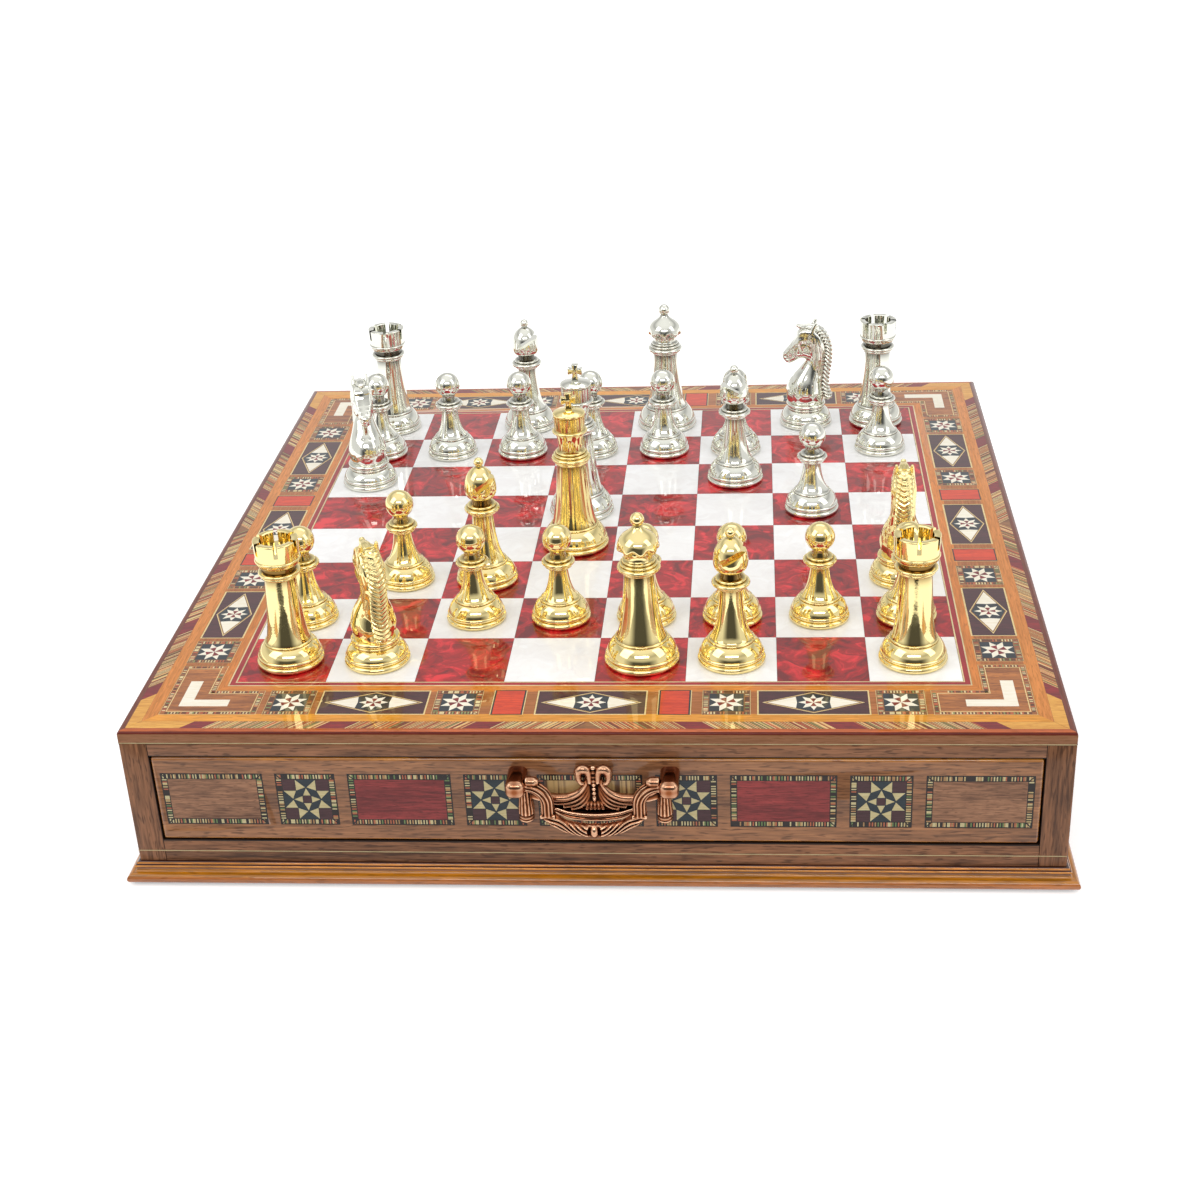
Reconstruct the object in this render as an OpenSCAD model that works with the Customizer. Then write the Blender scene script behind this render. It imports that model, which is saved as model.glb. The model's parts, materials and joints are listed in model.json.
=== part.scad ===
// Chess box with two drawers and a full set of turned metal chessmen.
// The origin is the middle of the underside. X runs along the ranks, Y runs from the
// player at the front to the player at the back, and Z is up. All sizes are millimetres.

/* [Board] */
// Side of one playing square
square = 39.5; // [36:0.5:50]
// Width of the border around the playing field
border_w = 42; // [40:1:60]
// Thickness of the top board
top_t = 6; // [4:0.5:12]
// Rounding of the top board's upper edge
edge_r = 1.5; // [0.5:0.25:3]
// Thickness of the playing squares and of every inlaid tile
inlay_t = 1.2; // [0.8:0.1:2]
// Glue line around every inlaid piece
glue_gap = 0.1; // [0.05:0.05:0.2]

/* [Inlaid border] */
// Plain wood outside the rope banding
edge_w = 3; // [2:0.5:5]
// Width of the rope banding
rope_w = 5.5; // [3:0.5:7]
// Plain wood between the rope banding and the row of tiles
strip_w = 5.6; // [3:0.1:7]
// Side of a star tile, and the width of the row of tiles
tile = 20.5; // [16:0.5:22]
// Length of a red tile
red_len = 14.4; // [8:0.1:20]
// Plain wood on both sides of a red tile
wide_gap = 4.5; // [2:0.1:8]
// Plain wood between the other tiles
small_gap = 2.6; // [1:0.1:4]
// Length of each arm of an L-shaped corner tile
corner_arm = 42.5; // [30:0.5:50]
// Width of the white L in a corner tile
ell_w = 5.5; // [3:0.5:7]
// Length of each leg of the white L
ell_len = 21.5; // [14:0.5:26]
// Wood between the white L and the outer edges of its tile
ell_in = 7; // [4:0.5:9]
// Wood between a star or a lozenge and the edge of its tile
tile_frame = 3; // [2:0.25:4]

/* [Case] */
// Height of the case between the base moulding and the top board
body_h = 60; // [50:1:100]
// Thickness of the two side panels
side_t = 12; // [8:0.5:18]
// Depth of the rails, front to back
rail_d = 18; // [10:1:30]
// Height of the rail above a drawer
top_rail_h = 6.4; // [4:0.2:12]
// Height of the rail below a drawer
bottom_rail_h = 10.9; // [8:0.1:18]
// Thickness of the bottom board
bottom_t = 4; // [3:0.5:6]
// Thickness of the partition between the two drawers
partition_t = 6; // [3:0.5:12]
// Width of the runners and kickers that guide the drawers
runner_w = 15; // [8:1:25]
// Height of the base moulding
base_h = 9; // [7:0.5:16]
// How far the base moulding stands out from the case
base_proud = 5.5; // [4.5:0.5:10]
// How far the base moulding reaches in under the case
base_lap = 14; // [13:0.5:30]
// Radius of the bead along the foot of the moulding
bead_r = 1.8; // [1:0.1:2.2]
// Thickness of the felt pads
foot_t = 1; // [0.5:0.25:3]
// Diameter of the felt pads
foot_d = 13; // [8:1:16]

/* [Drawers] */
// Thickness of a drawer face
face_t = 12; // [8:0.5:18]
// Gap all round a drawer face
face_gap = 0.6; // [0.4:0.1:1.5]
// Running gap between a drawer and its runners
run_gap = 0.3; // [0.2:0.05:0.5]
// Gap behind a closed drawer
back_gap = 3; // [1:0.5:10]
// Thickness of the drawer sides and backs
box_side_t = 8; // [5:0.5:12]
// Thickness of a drawer bottom
box_bottom_t = 3; // [2:0.5:5]
// Height of the drawer sides and back above the bottom
box_h = 34; // [28:1:38]
// Thickness of the dividers
divider_t = 2; // [1.5:0.5:4]
// Height of the dividers
divider_h = 28; // [15:1:32]
// Compartments side by side in each of the two rows
columns = 6; // [3:1:8]
// Height of the inlaid panels on a drawer face
panel_h = 26; // [18:0.5:32]
// Wood between two inlaid panels
panel_gap = 5.3; // [3:0.1:8]
// Wood between the last panel and the end of the face
panel_margin = 3; // [2:0.5:8]

/* [Handles] */
// Distance between the two posts of a handle
handle_span = 64; // [56:1:90]
// Height of the posts above the middle of the drawer face
handle_rise = 13.3; // [6:0.1:14]
// Sideways offset of a handle from the middle of its drawer
handle_shift = 2; // [-4:0.5:4]
// Width of a post
post_w = 7.5; // [6:0.25:10]
// Height of a post
post_h = 7.3; // [6:0.1:9]
// How far a post stands out from the drawer face
post_len = 14.5; // [13.5:0.5:20]
// Thickness of the back plate
plate_t = 2.2; // [1.5:0.1:3]
// Radius of the bail's pivot pins
pin_r = 1.5; // [1:0.1:2]
// Radial running clearance of a pin in its post
pin_gap = 0.06; // [0.02:0.01:0.1]
// Length of a pin inside its post
pin_len = 4.5; // [3:0.5:5.5]
// Distance of the pins from the drawer face
pin_out = 9; // [9:0.25:10]
// Radius of the bail's round arms
arm_r = 2.7; // [2:0.1:3]
// Radius of the elbows of the bail
elbow_r = 8.6; // [6:0.1:10]
// Depth of the bail below its pins
bail_drop = 25.6; // [22:0.1:32]
// Thickness of the carved grip of the bail
grip_t = 4.6; // [3:0.1:5.5]
// Radius of the machine screws that hold a handle
screw_r = 1.9; // [1.5:0.1:2.2]
// Clearance of a screw in the drawer face
screw_gap = 0.3; // [0.1:0.05:0.5]
// Radius of the screw heads
screw_head_r = 3.8; // [3:0.1:5]
// Height of the screw heads
screw_head_h = 2.4; // [1.5:0.1:3]

/* [Chessmen] */
// Height of a king with its cross
king_h = 80.5; // [70:0.5:95]
// Diameter of a king's base
king_d = 33.4; // [28:0.1:35]
// Height of a queen
queen_h = 71.3; // [60:0.1:85]
// Diameter of a queen's base
queen_d = 33.4; // [28:0.1:35]
// Height of a bishop
bishop_h = 64; // [50:0.5:75]
// Diameter of a bishop's base
bishop_d = 30; // [25:0.1:34]
// Height of a knight
knight_h = 60; // [50:0.5:70]
// Diameter of a knight's base
knight_d = 29.5; // [25:0.1:34]
// Height of a rook
rook_h = 60.5; // [48:0.5:70]
// Diameter of a rook's base
rook_d = 30.2; // [25:0.1:34]
// Height of a pawn
pawn_h = 47.4; // [38:0.2:56]
// Diameter of a pawn's base
pawn_d = 27.7; // [22:0.1:32]

/* [Hidden] */
$fn = 64;
cut = 1;                                    // overlap of a cutter past the face that it opens
files = 8;                                  // squares along one side of the board
field = files * square;
board = field + 2 * border_w;
half = board / 2;
base_z = foot_t;                            // underside of the moulding
case_z = base_z + base_h;                   // underside of the case
board_z = case_z + body_h;                  // underside of the top board
top_z = board_z + top_t;                    // playing surface
floor_z = case_z + bottom_t;                // top of the bottom board
bay_w = board - 2 * side_t;                 // inside width of the case
open_z0 = case_z + bottom_rail_h;           // drawer opening, lower edge
open_z1 = board_z - top_rail_h;             // drawer opening, upper edge

// The inlaid border, measured from the middle of the board
rope_out = half - edge_w;
rope_in = rope_out - rope_w;
band_out = rope_in - strip_w;
band_mid = band_out - tile / 2;
lozenge_len = (band_out - corner_arm - 2 * wide_gap - red_len - 2 * tile - 3 * small_gap) / 1.5;
red_x = lozenge_len / 2 + wide_gap + red_len / 2;
star_1x = red_x + red_len / 2 + wide_gap + tile / 2;
lozenge_x = star_1x + tile / 2 + small_gap + lozenge_len / 2;
star_2x = lozenge_x + lozenge_len / 2 + small_gap + tile / 2;

// Drawers, drawn at the front; the back one is turned half round
face_w = bay_w - 2 * face_gap;
face_z0 = open_z0 + face_gap;
face_z1 = open_z1 - face_gap;
face_mid = (face_z0 + face_z1) / 2;
face_in = half - face_t;                    // inner surface of a face
box_end = partition_t / 2 + back_gap;       // rear end of a closed drawer
box_z0 = open_z0 + run_gap;
box_z1 = box_z0 + box_bottom_t;             // floor of a drawer
box_in_w = face_w - 2 * box_side_t;
box_in_end = box_end + box_side_t;
cell_y = (face_in + box_in_end) / 2;        // middle of the long divider
cell_pitch = (box_in_w + divider_t) / columns;
panel_len = (face_w / 2 - panel_margin - 2 * panel_h - 4 * panel_gap) / 2.5;
panel_star_1x = panel_len / 2 + panel_gap + panel_h / 2;
panel_red_x = panel_star_1x + panel_h / 2 + panel_gap + panel_len / 2;
panel_star_2x = panel_red_x + panel_len / 2 + panel_gap + panel_h / 2;
panel_end_x = panel_star_2x + panel_h / 2 + panel_gap + panel_len / 2;

// Handles, measured from the middle between the two pins
post_z = face_mid + handle_rise;
post_x = handle_span / 2;
post_r = 1.5;                               // rounding of a post
swag_x = post_x - post_w / 2 - elbow_r + 1; // reach of the fan to each side
swag_z = -16;                               // foot of the fan
rim_z = -21.2;                              // foot of the rim below the fan
volute_x = 4.5;
volute_r = 3.1;
volute_z = 3.2;
tassel_x = post_x - 2.6;
bail_x = post_x - post_w / 2 - 0.35;        // outer end of each elbow
bail_arm_x = bail_x - elbow_r;
grip_z = -15;                               // where the arms run into the grip
knob_r = 2.3;

// Chessmen
base_ring = 3;                              // height of the lowest ring of a base
cross_h = 8.2;
cross_w = 7.2;
cross_t = 3;
rook_slots = 6;
crown_points = 8;

// name, kind, metal, square on which it stands, turn from facing left
PIECES = [
    ["gold_rook_1", "rook", "gold", "a1", 12], ["gold_rook_2", "rook", "gold", "h1", 0],
    ["gold_knight_1", "knight", "gold", "b1", -62], ["gold_knight_2", "knight", "gold", "h3", -92],
    ["gold_bishop_1", "bishop", "gold", "c3", 20], ["gold_bishop_2", "bishop", "gold", "f1", 0],
    ["gold_queen", "queen", "gold", "e1", 0], ["gold_king", "king", "gold", "d4", 8],
    ["gold_pawn_1", "pawn", "gold", "a2", 0], ["gold_pawn_2", "pawn", "gold", "b3", 0],
    ["gold_pawn_3", "pawn", "gold", "c2", 0], ["gold_pawn_4", "pawn", "gold", "d2", 0],
    ["gold_pawn_5", "pawn", "gold", "e2", 0], ["gold_pawn_6", "pawn", "gold", "f2", 0],
    ["gold_pawn_7", "pawn", "gold", "g2", 0], ["gold_pawn_8", "pawn", "gold", "h2", 0],
    ["silver_rook_1", "rook", "silver", "a8", 5], ["silver_rook_2", "rook", "silver", "h8", 20],
    ["silver_knight_1", "knight", "silver", "a6", 106], ["silver_knight_2", "knight", "silver", "g8", 0],
    ["silver_bishop_1", "bishop", "silver", "c8", 0], ["silver_bishop_2", "bishop", "silver", "f6", 15],
    ["silver_queen", "queen", "silver", "e8", 0], ["silver_king", "king", "silver", "d5", -6],
    ["silver_pawn_1", "pawn", "silver", "a7", 0], ["silver_pawn_2", "pawn", "silver", "b7", 0],
    ["silver_pawn_3", "pawn", "silver", "c7", 0], ["silver_pawn_4", "pawn", "silver", "d7", 0],
    ["silver_pawn_5", "pawn", "silver", "e7", 0], ["silver_pawn_6", "pawn", "silver", "f7", 0],
    ["silver_pawn_7", "pawn", "silver", "g5", 0], ["silver_pawn_8", "pawn", "silver", "h7", 0],
];

// Colours
walnut = "#7d5a43";
red_brown = "#8a4a2a";
orange_wood = "#a5632f";
plain_wood = "#b98a5a";
ivory = "#f5efe0";
slate = "#2c3a44";
purple = "#5d2f3b";
crimson = "#a01722";
pearl = "#f4f1ee";
copper = "#8a4a32";
gold = "#e0b64a";
silver = "#c9c7c2";

// ---- outlines ----

// Points of an arc round c, from angle a0 to a1
function arc(c, r, a0, a1, n = 6) = [for (i = [0 : n]) let (a = a0 + (a1 - a0) * i / n) c + r * [cos(a), sin(a)]];

// Points of a smooth bend from a to b that leans towards c, without its first point
function bend(a, c, b, n = 6) =
    [for (i = [1 : n]) let (t = i / n) (1 - t) * (1 - t) * a + 2 * t * (1 - t) * c + t * t * b];

// Points of a rectangle with rounded corners
function rounded(w, h, r) = concat(
    arc([w / 2 - r, h / 2 - r], r, 0, 90, 3), arc([r - w / 2, h / 2 - r], r, 90, 180, 3),
    arc([r - w / 2, r - h / 2], r, 180, 270, 3), arc([w / 2 - r, r - h / 2], r, 270, 360, 3));

// Half outline, given for x above 0 from the top down, closed by its mirror image
function both_halves(p) = concat(p, [for (i = [len(p) - 1 : -1 : 0]) if (p[i][0] > 0) [-p[i][0], p[i][1]]]);

// Eight-pointed star of eight lozenges, which fills a square of side a
function star(a) = [for (k = [0 : 7]) each [
    a / (2 + sqrt(2)) * [cos(45 * k), sin(45 * k)],
    a / 2 / cos(22.5) * [cos(45 * k + 22.5), sin(45 * k + 22.5)]]];

// ---- placing ----

// A plate centred on the Z axis, from z0 to z1
module plate(w, d, z0, z1) { translate([-w / 2, -d / 2, z0]) cube([w, d, z1 - z0]); }

// The same thing on all four sides of the board
module four_sides() { for (a = [0 : 90 : 270]) rotate([0, 0, a]) children(); }

// The same thing at the left and at the right
module both_sides() { children(); mirror([1, 0, 0]) children(); }

module at_back() { rotate([0, 0, 180]) children(); }

// An upright outline in X and Z that faces the front, from y0 outwards to y1
module upright(y0, y1) { translate([0, -y0, 0]) rotate([90, 0, 0]) linear_extrude(y1 - y0) children(); }

// A bar along X whose cross-section is drawn in Y and Z
module bar(len) { rotate([90, 0, 90]) linear_extrude(len, center = true) children(); }

// Everything of a handle is drawn round the middle between its pins
module at_handle() { translate([handle_shift, -half, post_z]) children(); }

// ---- case ----

module side_panels() {
    color(walnut) both_sides() translate([half - side_t, -half, case_z]) cube([side_t, board, body_h]);
}

module case_bottom() { color(plain_wood) plate(bay_w, board - 2 * rail_d, case_z, floor_z); }

module cross_rails() {
    color(walnut) for (turn = [0, 180]) rotate([0, 0, turn]) translate([-bay_w / 2, -half, 0]) {
        translate([0, 0, case_z]) cube([bay_w, rail_d, bottom_rail_h]);
        translate([0, 0, open_z1]) cube([bay_w, rail_d, top_rail_h]);
    }
}

module centre_partition() { color(plain_wood) plate(bay_w, partition_t, floor_z, board_z); }

// Runners below each drawer and kickers above it, along both side panels
module drawer_runners() {
    length = half - rail_d - partition_t / 2;
    color(plain_wood) for (turn = [0, 180]) rotate([0, 0, turn])
        both_sides() translate([bay_w / 2 - runner_w, rail_d - half, 0]) {
            translate([0, 0, floor_z]) cube([runner_w, length, open_z0 - floor_z]);
            translate([0, 0, open_z1]) cube([runner_w, length, board_z - open_z1]);
        }
}

// Cross-section of the moulding: how far out, and how high above its underside
function moulding_outline() = let (lip = 1.4, lip_out = 0.9, neck = base_proud - bead_r - 0.6) concat(
    [[-base_lap, 0]],
    arc([base_proud - bead_r, bead_r], bead_r, -90, 90, 8),
    [[neck, 2 * bead_r], [neck, 2 * bead_r + 0.5]],
    bend([neck, 2 * bead_r + 0.5], [lip_out + 0.3, 2 * bead_r + 0.8], [lip_out + 0.2, base_h - lip], 6),
    [[lip_out, base_h - lip], [lip_out, base_h], [-base_lap, base_h]]);

module base_moulding() {
    reach = half + base_proud + cut;
    color(red_brown) four_sides() intersection() {
        translate([0, 0, base_z]) bar(2 * reach)
            polygon([for (p = moulding_outline()) [-half - p[0], p[1]]]);
        translate([0, 0, base_z - cut]) linear_extrude(base_h + 2 * cut)
            polygon([[glue_gap - reach, -reach], [reach - glue_gap, -reach], [0, -glue_gap]]);
    }
}

module foot_pads() {
    pad = half - base_lap / 2 + base_proud / 2;
    color("dimgray") for (x = [-pad, pad], y = [-pad, pad]) translate([x, y, 0]) cylinder(d = foot_d, h = base_z);
}

// ---- top board and its inlay ----

module tile_places(places) { four_sides() for (x = places) translate([x, -band_mid]) children(); }
module star_places() { tile_places([-star_2x, -star_1x, star_1x, star_2x]) children(); }
module lozenge_places() { tile_places([-lozenge_x, 0, lozenge_x]) children(); }
module red_places() { tile_places([-red_x, red_x]) children(); }

// Outline of the L-shaped tile in the front left corner, drawn smaller by gap all round
module corner_outline(gap) {
    o = gap - band_out;
    i = tile - band_out - gap;
    e = corner_arm - band_out - gap;
    polygon([[o, o], [e, o], [e, i], [i, i], [i, e], [o, e]]);
}

// The two mitred legs of the white L, or with no gap the recess for both
module ell_outline(gap) {
    o = ell_in - band_out;
    both = [[0, 1], [1, 0]];
    for (m = both) multmatrix([[m[1], m[0], 0, 0], [m[0], m[1], 0, 0], [0, 0, 1, 0], [0, 0, 0, 1]])
        polygon([[o + gap + gap, o + gap], [o + ell_len - gap, o + gap],
            [o + ell_len - gap, o + ell_w - gap], [o + ell_w + gap, o + ell_w - gap]]);
}

module lozenge_outline(gap) {
    x = lozenge_len / 2 - tile_frame + 0.8 - gap * 2;
    y = tile / 2 - tile_frame + 1.3 - gap;
    polygon([[x, 0], [0, y], [-x, 0], [0, -y]]);
}

module star_outline(gap) { polygon(star(tile - 2 * tile_frame - 4 * gap)); }

module rope_outline(gap) {
    o = rope_out - gap;
    i = rope_in + gap;
    polygon([[gap - o, -o], [o - gap, -o], [i - gap, -i], [gap - i, -i]]);
}

// Recesses in the top board, or the pieces that fill them, at the depth of the inlay
module inlaid(past = 0) { translate([0, 0, top_z - inlay_t]) linear_extrude(inlay_t + past) children(); }

module top_board() {
    profile = concat([[-half, 0], [half, 0]], arc([half - edge_r, top_t - edge_r], edge_r, 0, 90, 4),
        arc([edge_r - half, top_t - edge_r], edge_r, 90, 180, 4));
    color(red_brown) difference() {
        translate([0, 0, board_z]) intersection() {
            bar(board) polygon(profile);
            rotate([0, 0, 90]) bar(board) polygon(profile);
        }
        inlaid(cut) square(field, center = true);
        inlaid(cut) star_places() square(tile, center = true);
        inlaid(cut) lozenge_places() square([lozenge_len, tile], center = true);
        inlaid(cut) red_places() square([red_len, tile], center = true);
        inlaid(cut) four_sides() corner_outline(0);
        inlaid(cut) four_sides() rope_outline(0);
    }
}

// The squares of one colour: parity 1 holds the dark ones and 0 the light ones
module squares(parity) {
    side = square - glue_gap;
    inlaid() for (f = [0 : files - 1], r = [0 : files - 1]) if ((f + r + 1) % 2 == parity)
        translate([(f + 0.5) * square - field / 2, (r + 0.5) * square - field / 2]) square(side, center = true);
}

module light_squares() { color(pearl) squares(0); }
module dark_squares() { color(crimson) squares(1); }

module star_tiles() {
    color(slate) inlaid() star_places() difference() {
        square(tile - 2 * glue_gap, center = true);
        star_outline(0);
    }
    color(ivory) inlaid() star_places() star_outline(glue_gap);
}

module lozenge_tiles() {
    color(purple) inlaid() lozenge_places() difference() {
        square([lozenge_len, tile] - 2 * glue_gap * [1, 1], center = true);
        lozenge_outline(0);
    }
    color(ivory) inlaid() lozenge_places() lozenge_outline(glue_gap);
}

module corner_and_red_tiles() {
    color(orange_wood) inlaid() four_sides() difference() {
        corner_outline(glue_gap);
        ell_outline(0);
    }
    color(ivory) inlaid() four_sides() ell_outline(glue_gap);
    color(crimson) inlaid() red_places() square([red_len, tile] - 2 * glue_gap * [1, 1], center = true);
}

module rope_banding() { color("#d9a860") inlaid() four_sides() rope_outline(glue_gap); }

// ---- drawers ----

// The nine panels of a drawer face: the stars are squares and the others are long
module panel_places(places) { for (x = places) translate([x, face_mid]) children(); }
module panel_star_places() {
    panel_places([-panel_star_2x, -panel_star_1x, panel_star_1x, panel_star_2x]) children();
}
module panel_long_places() { panel_places([-panel_end_x, -panel_red_x, 0, panel_red_x, panel_end_x]) children(); }

module drawer_face() {
    color(walnut) difference() {
        translate([-face_w / 2, -half, face_z0]) cube([face_w, face_t, face_z1 - face_z0]);
        upright(half - inlay_t, half + cut) panel_star_places() square(panel_h, center = true);
        upright(half - inlay_t, half + cut) panel_long_places() square([panel_len, panel_h], center = true);
        at_handle() both_sides() translate([post_x, -cut, 0]) rotate([-90, 0, 0])
            cylinder(r = screw_r + screw_gap, h = face_t + 2 * cut);
    }
}

module drawer_inlay() {
    bolt_r = screw_r + screw_gap;
    difference() {
        union() {
            color(slate) upright(half - inlay_t, half) panel_star_places() difference() {
                square(panel_h - 2 * glue_gap, center = true);
                polygon(star(panel_h - 2 * tile_frame));
            }
            color(ivory) upright(half - inlay_t, half) panel_star_places()
                polygon(star(panel_h - 2 * tile_frame - 4 * glue_gap));
            color(crimson) upright(half - inlay_t, half) panel_long_places()
                square([panel_len, panel_h] - 2 * glue_gap * [1, 1], center = true);
        }
        at_handle() both_sides() translate([post_x, -cut, 0]) rotate([-90, 0, 0])
            cylinder(r = bolt_r, h = inlay_t + 2 * cut);
    }
}

// Bottom, two sides and back, with a glue line between each two
module drawer_box() {
    length = face_in - box_end;
    color(plain_wood) {
        translate([-face_w / 2, -face_in, box_z0]) cube([face_w, length, box_bottom_t]);
        both_sides() translate([face_w / 2 - box_side_t, -face_in, box_z1 + glue_gap])
            cube([box_side_t, length, box_h - glue_gap]);
        translate([glue_gap - box_in_w / 2, -box_in_end, box_z1 + glue_gap])
            cube([box_in_w - 2 * glue_gap, box_side_t, box_h - glue_gap]);
    }
}

// One long divider and the cross dividers, halved together like an egg crate
module drawer_dividers() {
    slot = divider_t + 2 * glue_gap;
    deep = face_in - box_in_end;
    color("#6b4a34") {
        difference() {
            translate([-box_in_w / 2, -cell_y - divider_t / 2, box_z1]) cube([box_in_w, divider_t, divider_h]);
            for (i = [1 : columns - 1]) translate([divider_x(i) - slot / 2, -cell_y - divider_t, box_z1 + divider_h / 2])
                cube([slot, 2 * divider_t, divider_h]);
        }
        for (i = [1 : columns - 1]) difference() {
            translate([divider_x(i) - divider_t / 2, -face_in, box_z1]) cube([divider_t, deep, divider_h]);
            translate([divider_x(i) - divider_t, -cell_y - slot / 2, box_z1 - cut])
                cube([2 * divider_t, slot, divider_h / 2 + cut + glue_gap]);
            at_handle() both_sides() translate([post_x, face_t, 0]) rotate([-90, 0, 0])
                cylinder(r = screw_head_r + 1, h = screw_head_h + 1);
        }
    }
}

function divider_x(i) = (i - columns / 2) * cell_pitch;

// ---- handles ----

// The fan with its concave shoulders, drawn as one half from the top down
function fan_outline() = both_halves(concat(
    [[2.2, -1], [3.2, -3]],
    bend([3.2, -3], [5, -9.5], [swag_x - 5, -9.2], 8),
    [[swag_x, -8.6], [swag_x, -12]],
    bend([swag_x, -12], [swag_x / 2, swag_z + 0.2], [0, swag_z], 8)));

// The curved rim below the fan
function rim_outline() = both_halves(concat(
    bend([0, swag_z - 1.8], [swag_x * 0.6, swag_z - 1.6], [swag_x - 3.4, -12.6], 8),
    [[swag_x - 1, -12.6]],
    bend([swag_x - 1, -12.6], [swag_x * 0.7, rim_z], [0, rim_z], 8)));

// A strap from the fan to the foot of a post
function strap_outline() = concat(
    [[swag_x - 2, -12.6], [swag_x - 2, -8.8]],
    bend([swag_x - 2, -8.8], [post_x - 5, -8], [post_x - 3, 2], 6),
    [[post_x + 2, 0]],
    bend([post_x + 2, 0], [post_x - 2, -12.6], [swag_x - 2, -12.6], 8));

// A fluted tassel that hangs under a post
function tassel_outline() = concat(
    [[-2.2, -2], [2.2, -2]], bend([2.2, -2], [2.4, -12], [3.2, -18], 5),
    [[3.4, -19.5], [3.4, -21], [2.2, -21.4]], bend([2.2, -21.4], [1.6, -23.6], [0, -24.2], 3),
    [for (p = [[-1.6, -23], [-2.2, -21.4], [-3.4, -21], [-3.4, -19.5]]) p],
    bend([-3.2, -18], [-2.4, -12], [-2.2, -2.5], 5));

module handle_plate() {
    color(copper) at_handle() difference() {
        union() {
            upright(0, plate_t) polygon(fan_outline());
            upright(0, plate_t + 1.4) polygon(rim_outline());
            both_sides() {
                upright(0, plate_t) polygon(strap_outline());
                upright(0, plate_t) translate([post_x, 0]) polygon(rounded(post_w + 2, post_h + 2, post_r + 1));
                upright(0, post_len) translate([post_x, 0]) polygon(rounded(post_w, post_h, post_r));
                upright(0, plate_t + 1) translate([tassel_x, 0]) polygon(tassel_outline());
                translate([volute_x, 0, volute_z]) rotate([90, 0, 0]) cylinder(r = volute_r, h = plate_t + 2);
            }
            upright(0, plate_t + 1) polygon(rounded(4.4, 13, 2));
            for (i = [0 : 5]) translate([0, -plate_t - 0.6, 4.6 - 2.6 * i]) sphere(r = 1.5);
        }
        both_sides() {
            translate([post_x - post_w / 2 - cut, -pin_out, 0]) rotate([0, 90, 0])
                cylinder(r = pin_r + pin_gap, h = pin_len + 0.4 + cut);
            translate([post_x, cut, 0]) rotate([90, 0, 0])
                cylinder(r = screw_r, h = cut + pin_out - pin_r - pin_gap - 1);
        }
    }
}

module handle_screws() {
    reach = pin_out - pin_r - pin_gap - 1.5;
    color("silver") at_handle() both_sides() translate([post_x, face_t, 0]) {
        difference() {
            rotate([-90, 0, 0]) cylinder(r = screw_head_r, h = screw_head_h);
            translate([-screw_head_r, screw_head_h - 1, -0.4]) cube([2 * screw_head_r, 2, 0.8]);
        }
        rotate([90, 0, 0]) cylinder(r = screw_r - 0.03, h = face_t + reach);
    }
}

// The carved grip, drawn as one half from the top down
function grip_outline() = both_halves(concat(
    [[0, -19.2]], bend([0, -19.2], [bail_arm_x * 0.6, -18.8], [bail_arm_x - arm_r, grip_z + 1.5], 7),
    [[bail_arm_x + arm_r, grip_z + 1.5]],
    bend([bail_arm_x + arm_r, grip_z + 1.5], [bail_arm_x * 0.75, -bail_drop + 1.4], [3.2, -bail_drop + 0.6], 8),
    [[0, -bail_drop]]));

module handle_bail() {
    color(copper) at_handle() translate([0, -pin_out, 0]) {
        upright(-grip_t / 2, grip_t / 2) polygon(grip_outline());
        upright(-grip_t / 2 - 0.6, grip_t / 2 + 0.6) translate([0, -22]) polygon(rounded(5.4, 6.6, 2.6));
        both_sides() {
            translate([bail_x - 1, 0, 0]) rotate([0, 90, 0]) cylinder(r = pin_r, h = pin_len + 1.35);
            translate([bail_x, 0, -elbow_r]) rotate([90, 0, 0]) rotate([0, 0, 90])
                rotate_extrude(angle = 90) translate([elbow_r, 0]) circle(r = arm_r);
            translate([bail_arm_x, 0, grip_z]) cylinder(r = arm_r, h = -grip_z - elbow_r);
            translate([bail_arm_x, 0, grip_z]) sphere(r = arm_r);
            translate([bail_x - 3.9, 0, knob_r - 0.3]) sphere(r = knob_r);
        }
    }
}

// ---- chessmen ----

// A half-round bead of height t on a turned piece, standing out to radius r
function bead(r, z, t) = arc([r - t / 2, z + t / 2], t / 2, -90, 90, 4);

// The two rings of a base and the dome above them, up to radius r1 at height z1
function turned_foot(r, r1, z1) = concat(
    [[0, 0]], bead(r, 0, base_ring), bead(r - 0.6, base_ring + 0.1, 2.2), [[r - 0.9, 5.4]],
    bend([r - 0.9, 5.4], [r - 1.8, z1 - 1], [r1, z1], 5));

// Turned outlines as radius and height, from the middle of the base to the tip
PAWN = concat(turned_foot(13.85, 8.2, 10.4), bead(8.5, 10.5, 1.2), [[7.7, 11.8]],
    bend([7.7, 11.8], [4.6, 15.5], [4.1, 26.8], 7), bead(6.4, 26.9, 1.4), bead(7.65, 28.4, 2),
    bead(6, 30.5, 1.2), [[4, 31.8], [3.4, 33.6]], arc([0, 40.7], 6.7, -58, 90, 10));

ROOK = concat(turned_foot(15.1, 9.6, 10.4), bead(10, 10.5, 1.3), [[9.2, 11.9]],
    bend([9.2, 11.9], [7.6, 17], [6.9, 42.6], 7), bead(8.3, 42.7, 1.5), bead(9.3, 44.3, 1.6),
    [[7.4, 46], [7.4, 48]], bend([7.4, 48], [9.4, 48.6], [9.7, 50.4], 4), bead(10.1, 50.5, 1.4),
    [[9.6, 52], [10, 60.2], [9.7, 60.5], [7.5, 60.5], [7.3, 54], [0, 54]]);

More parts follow.
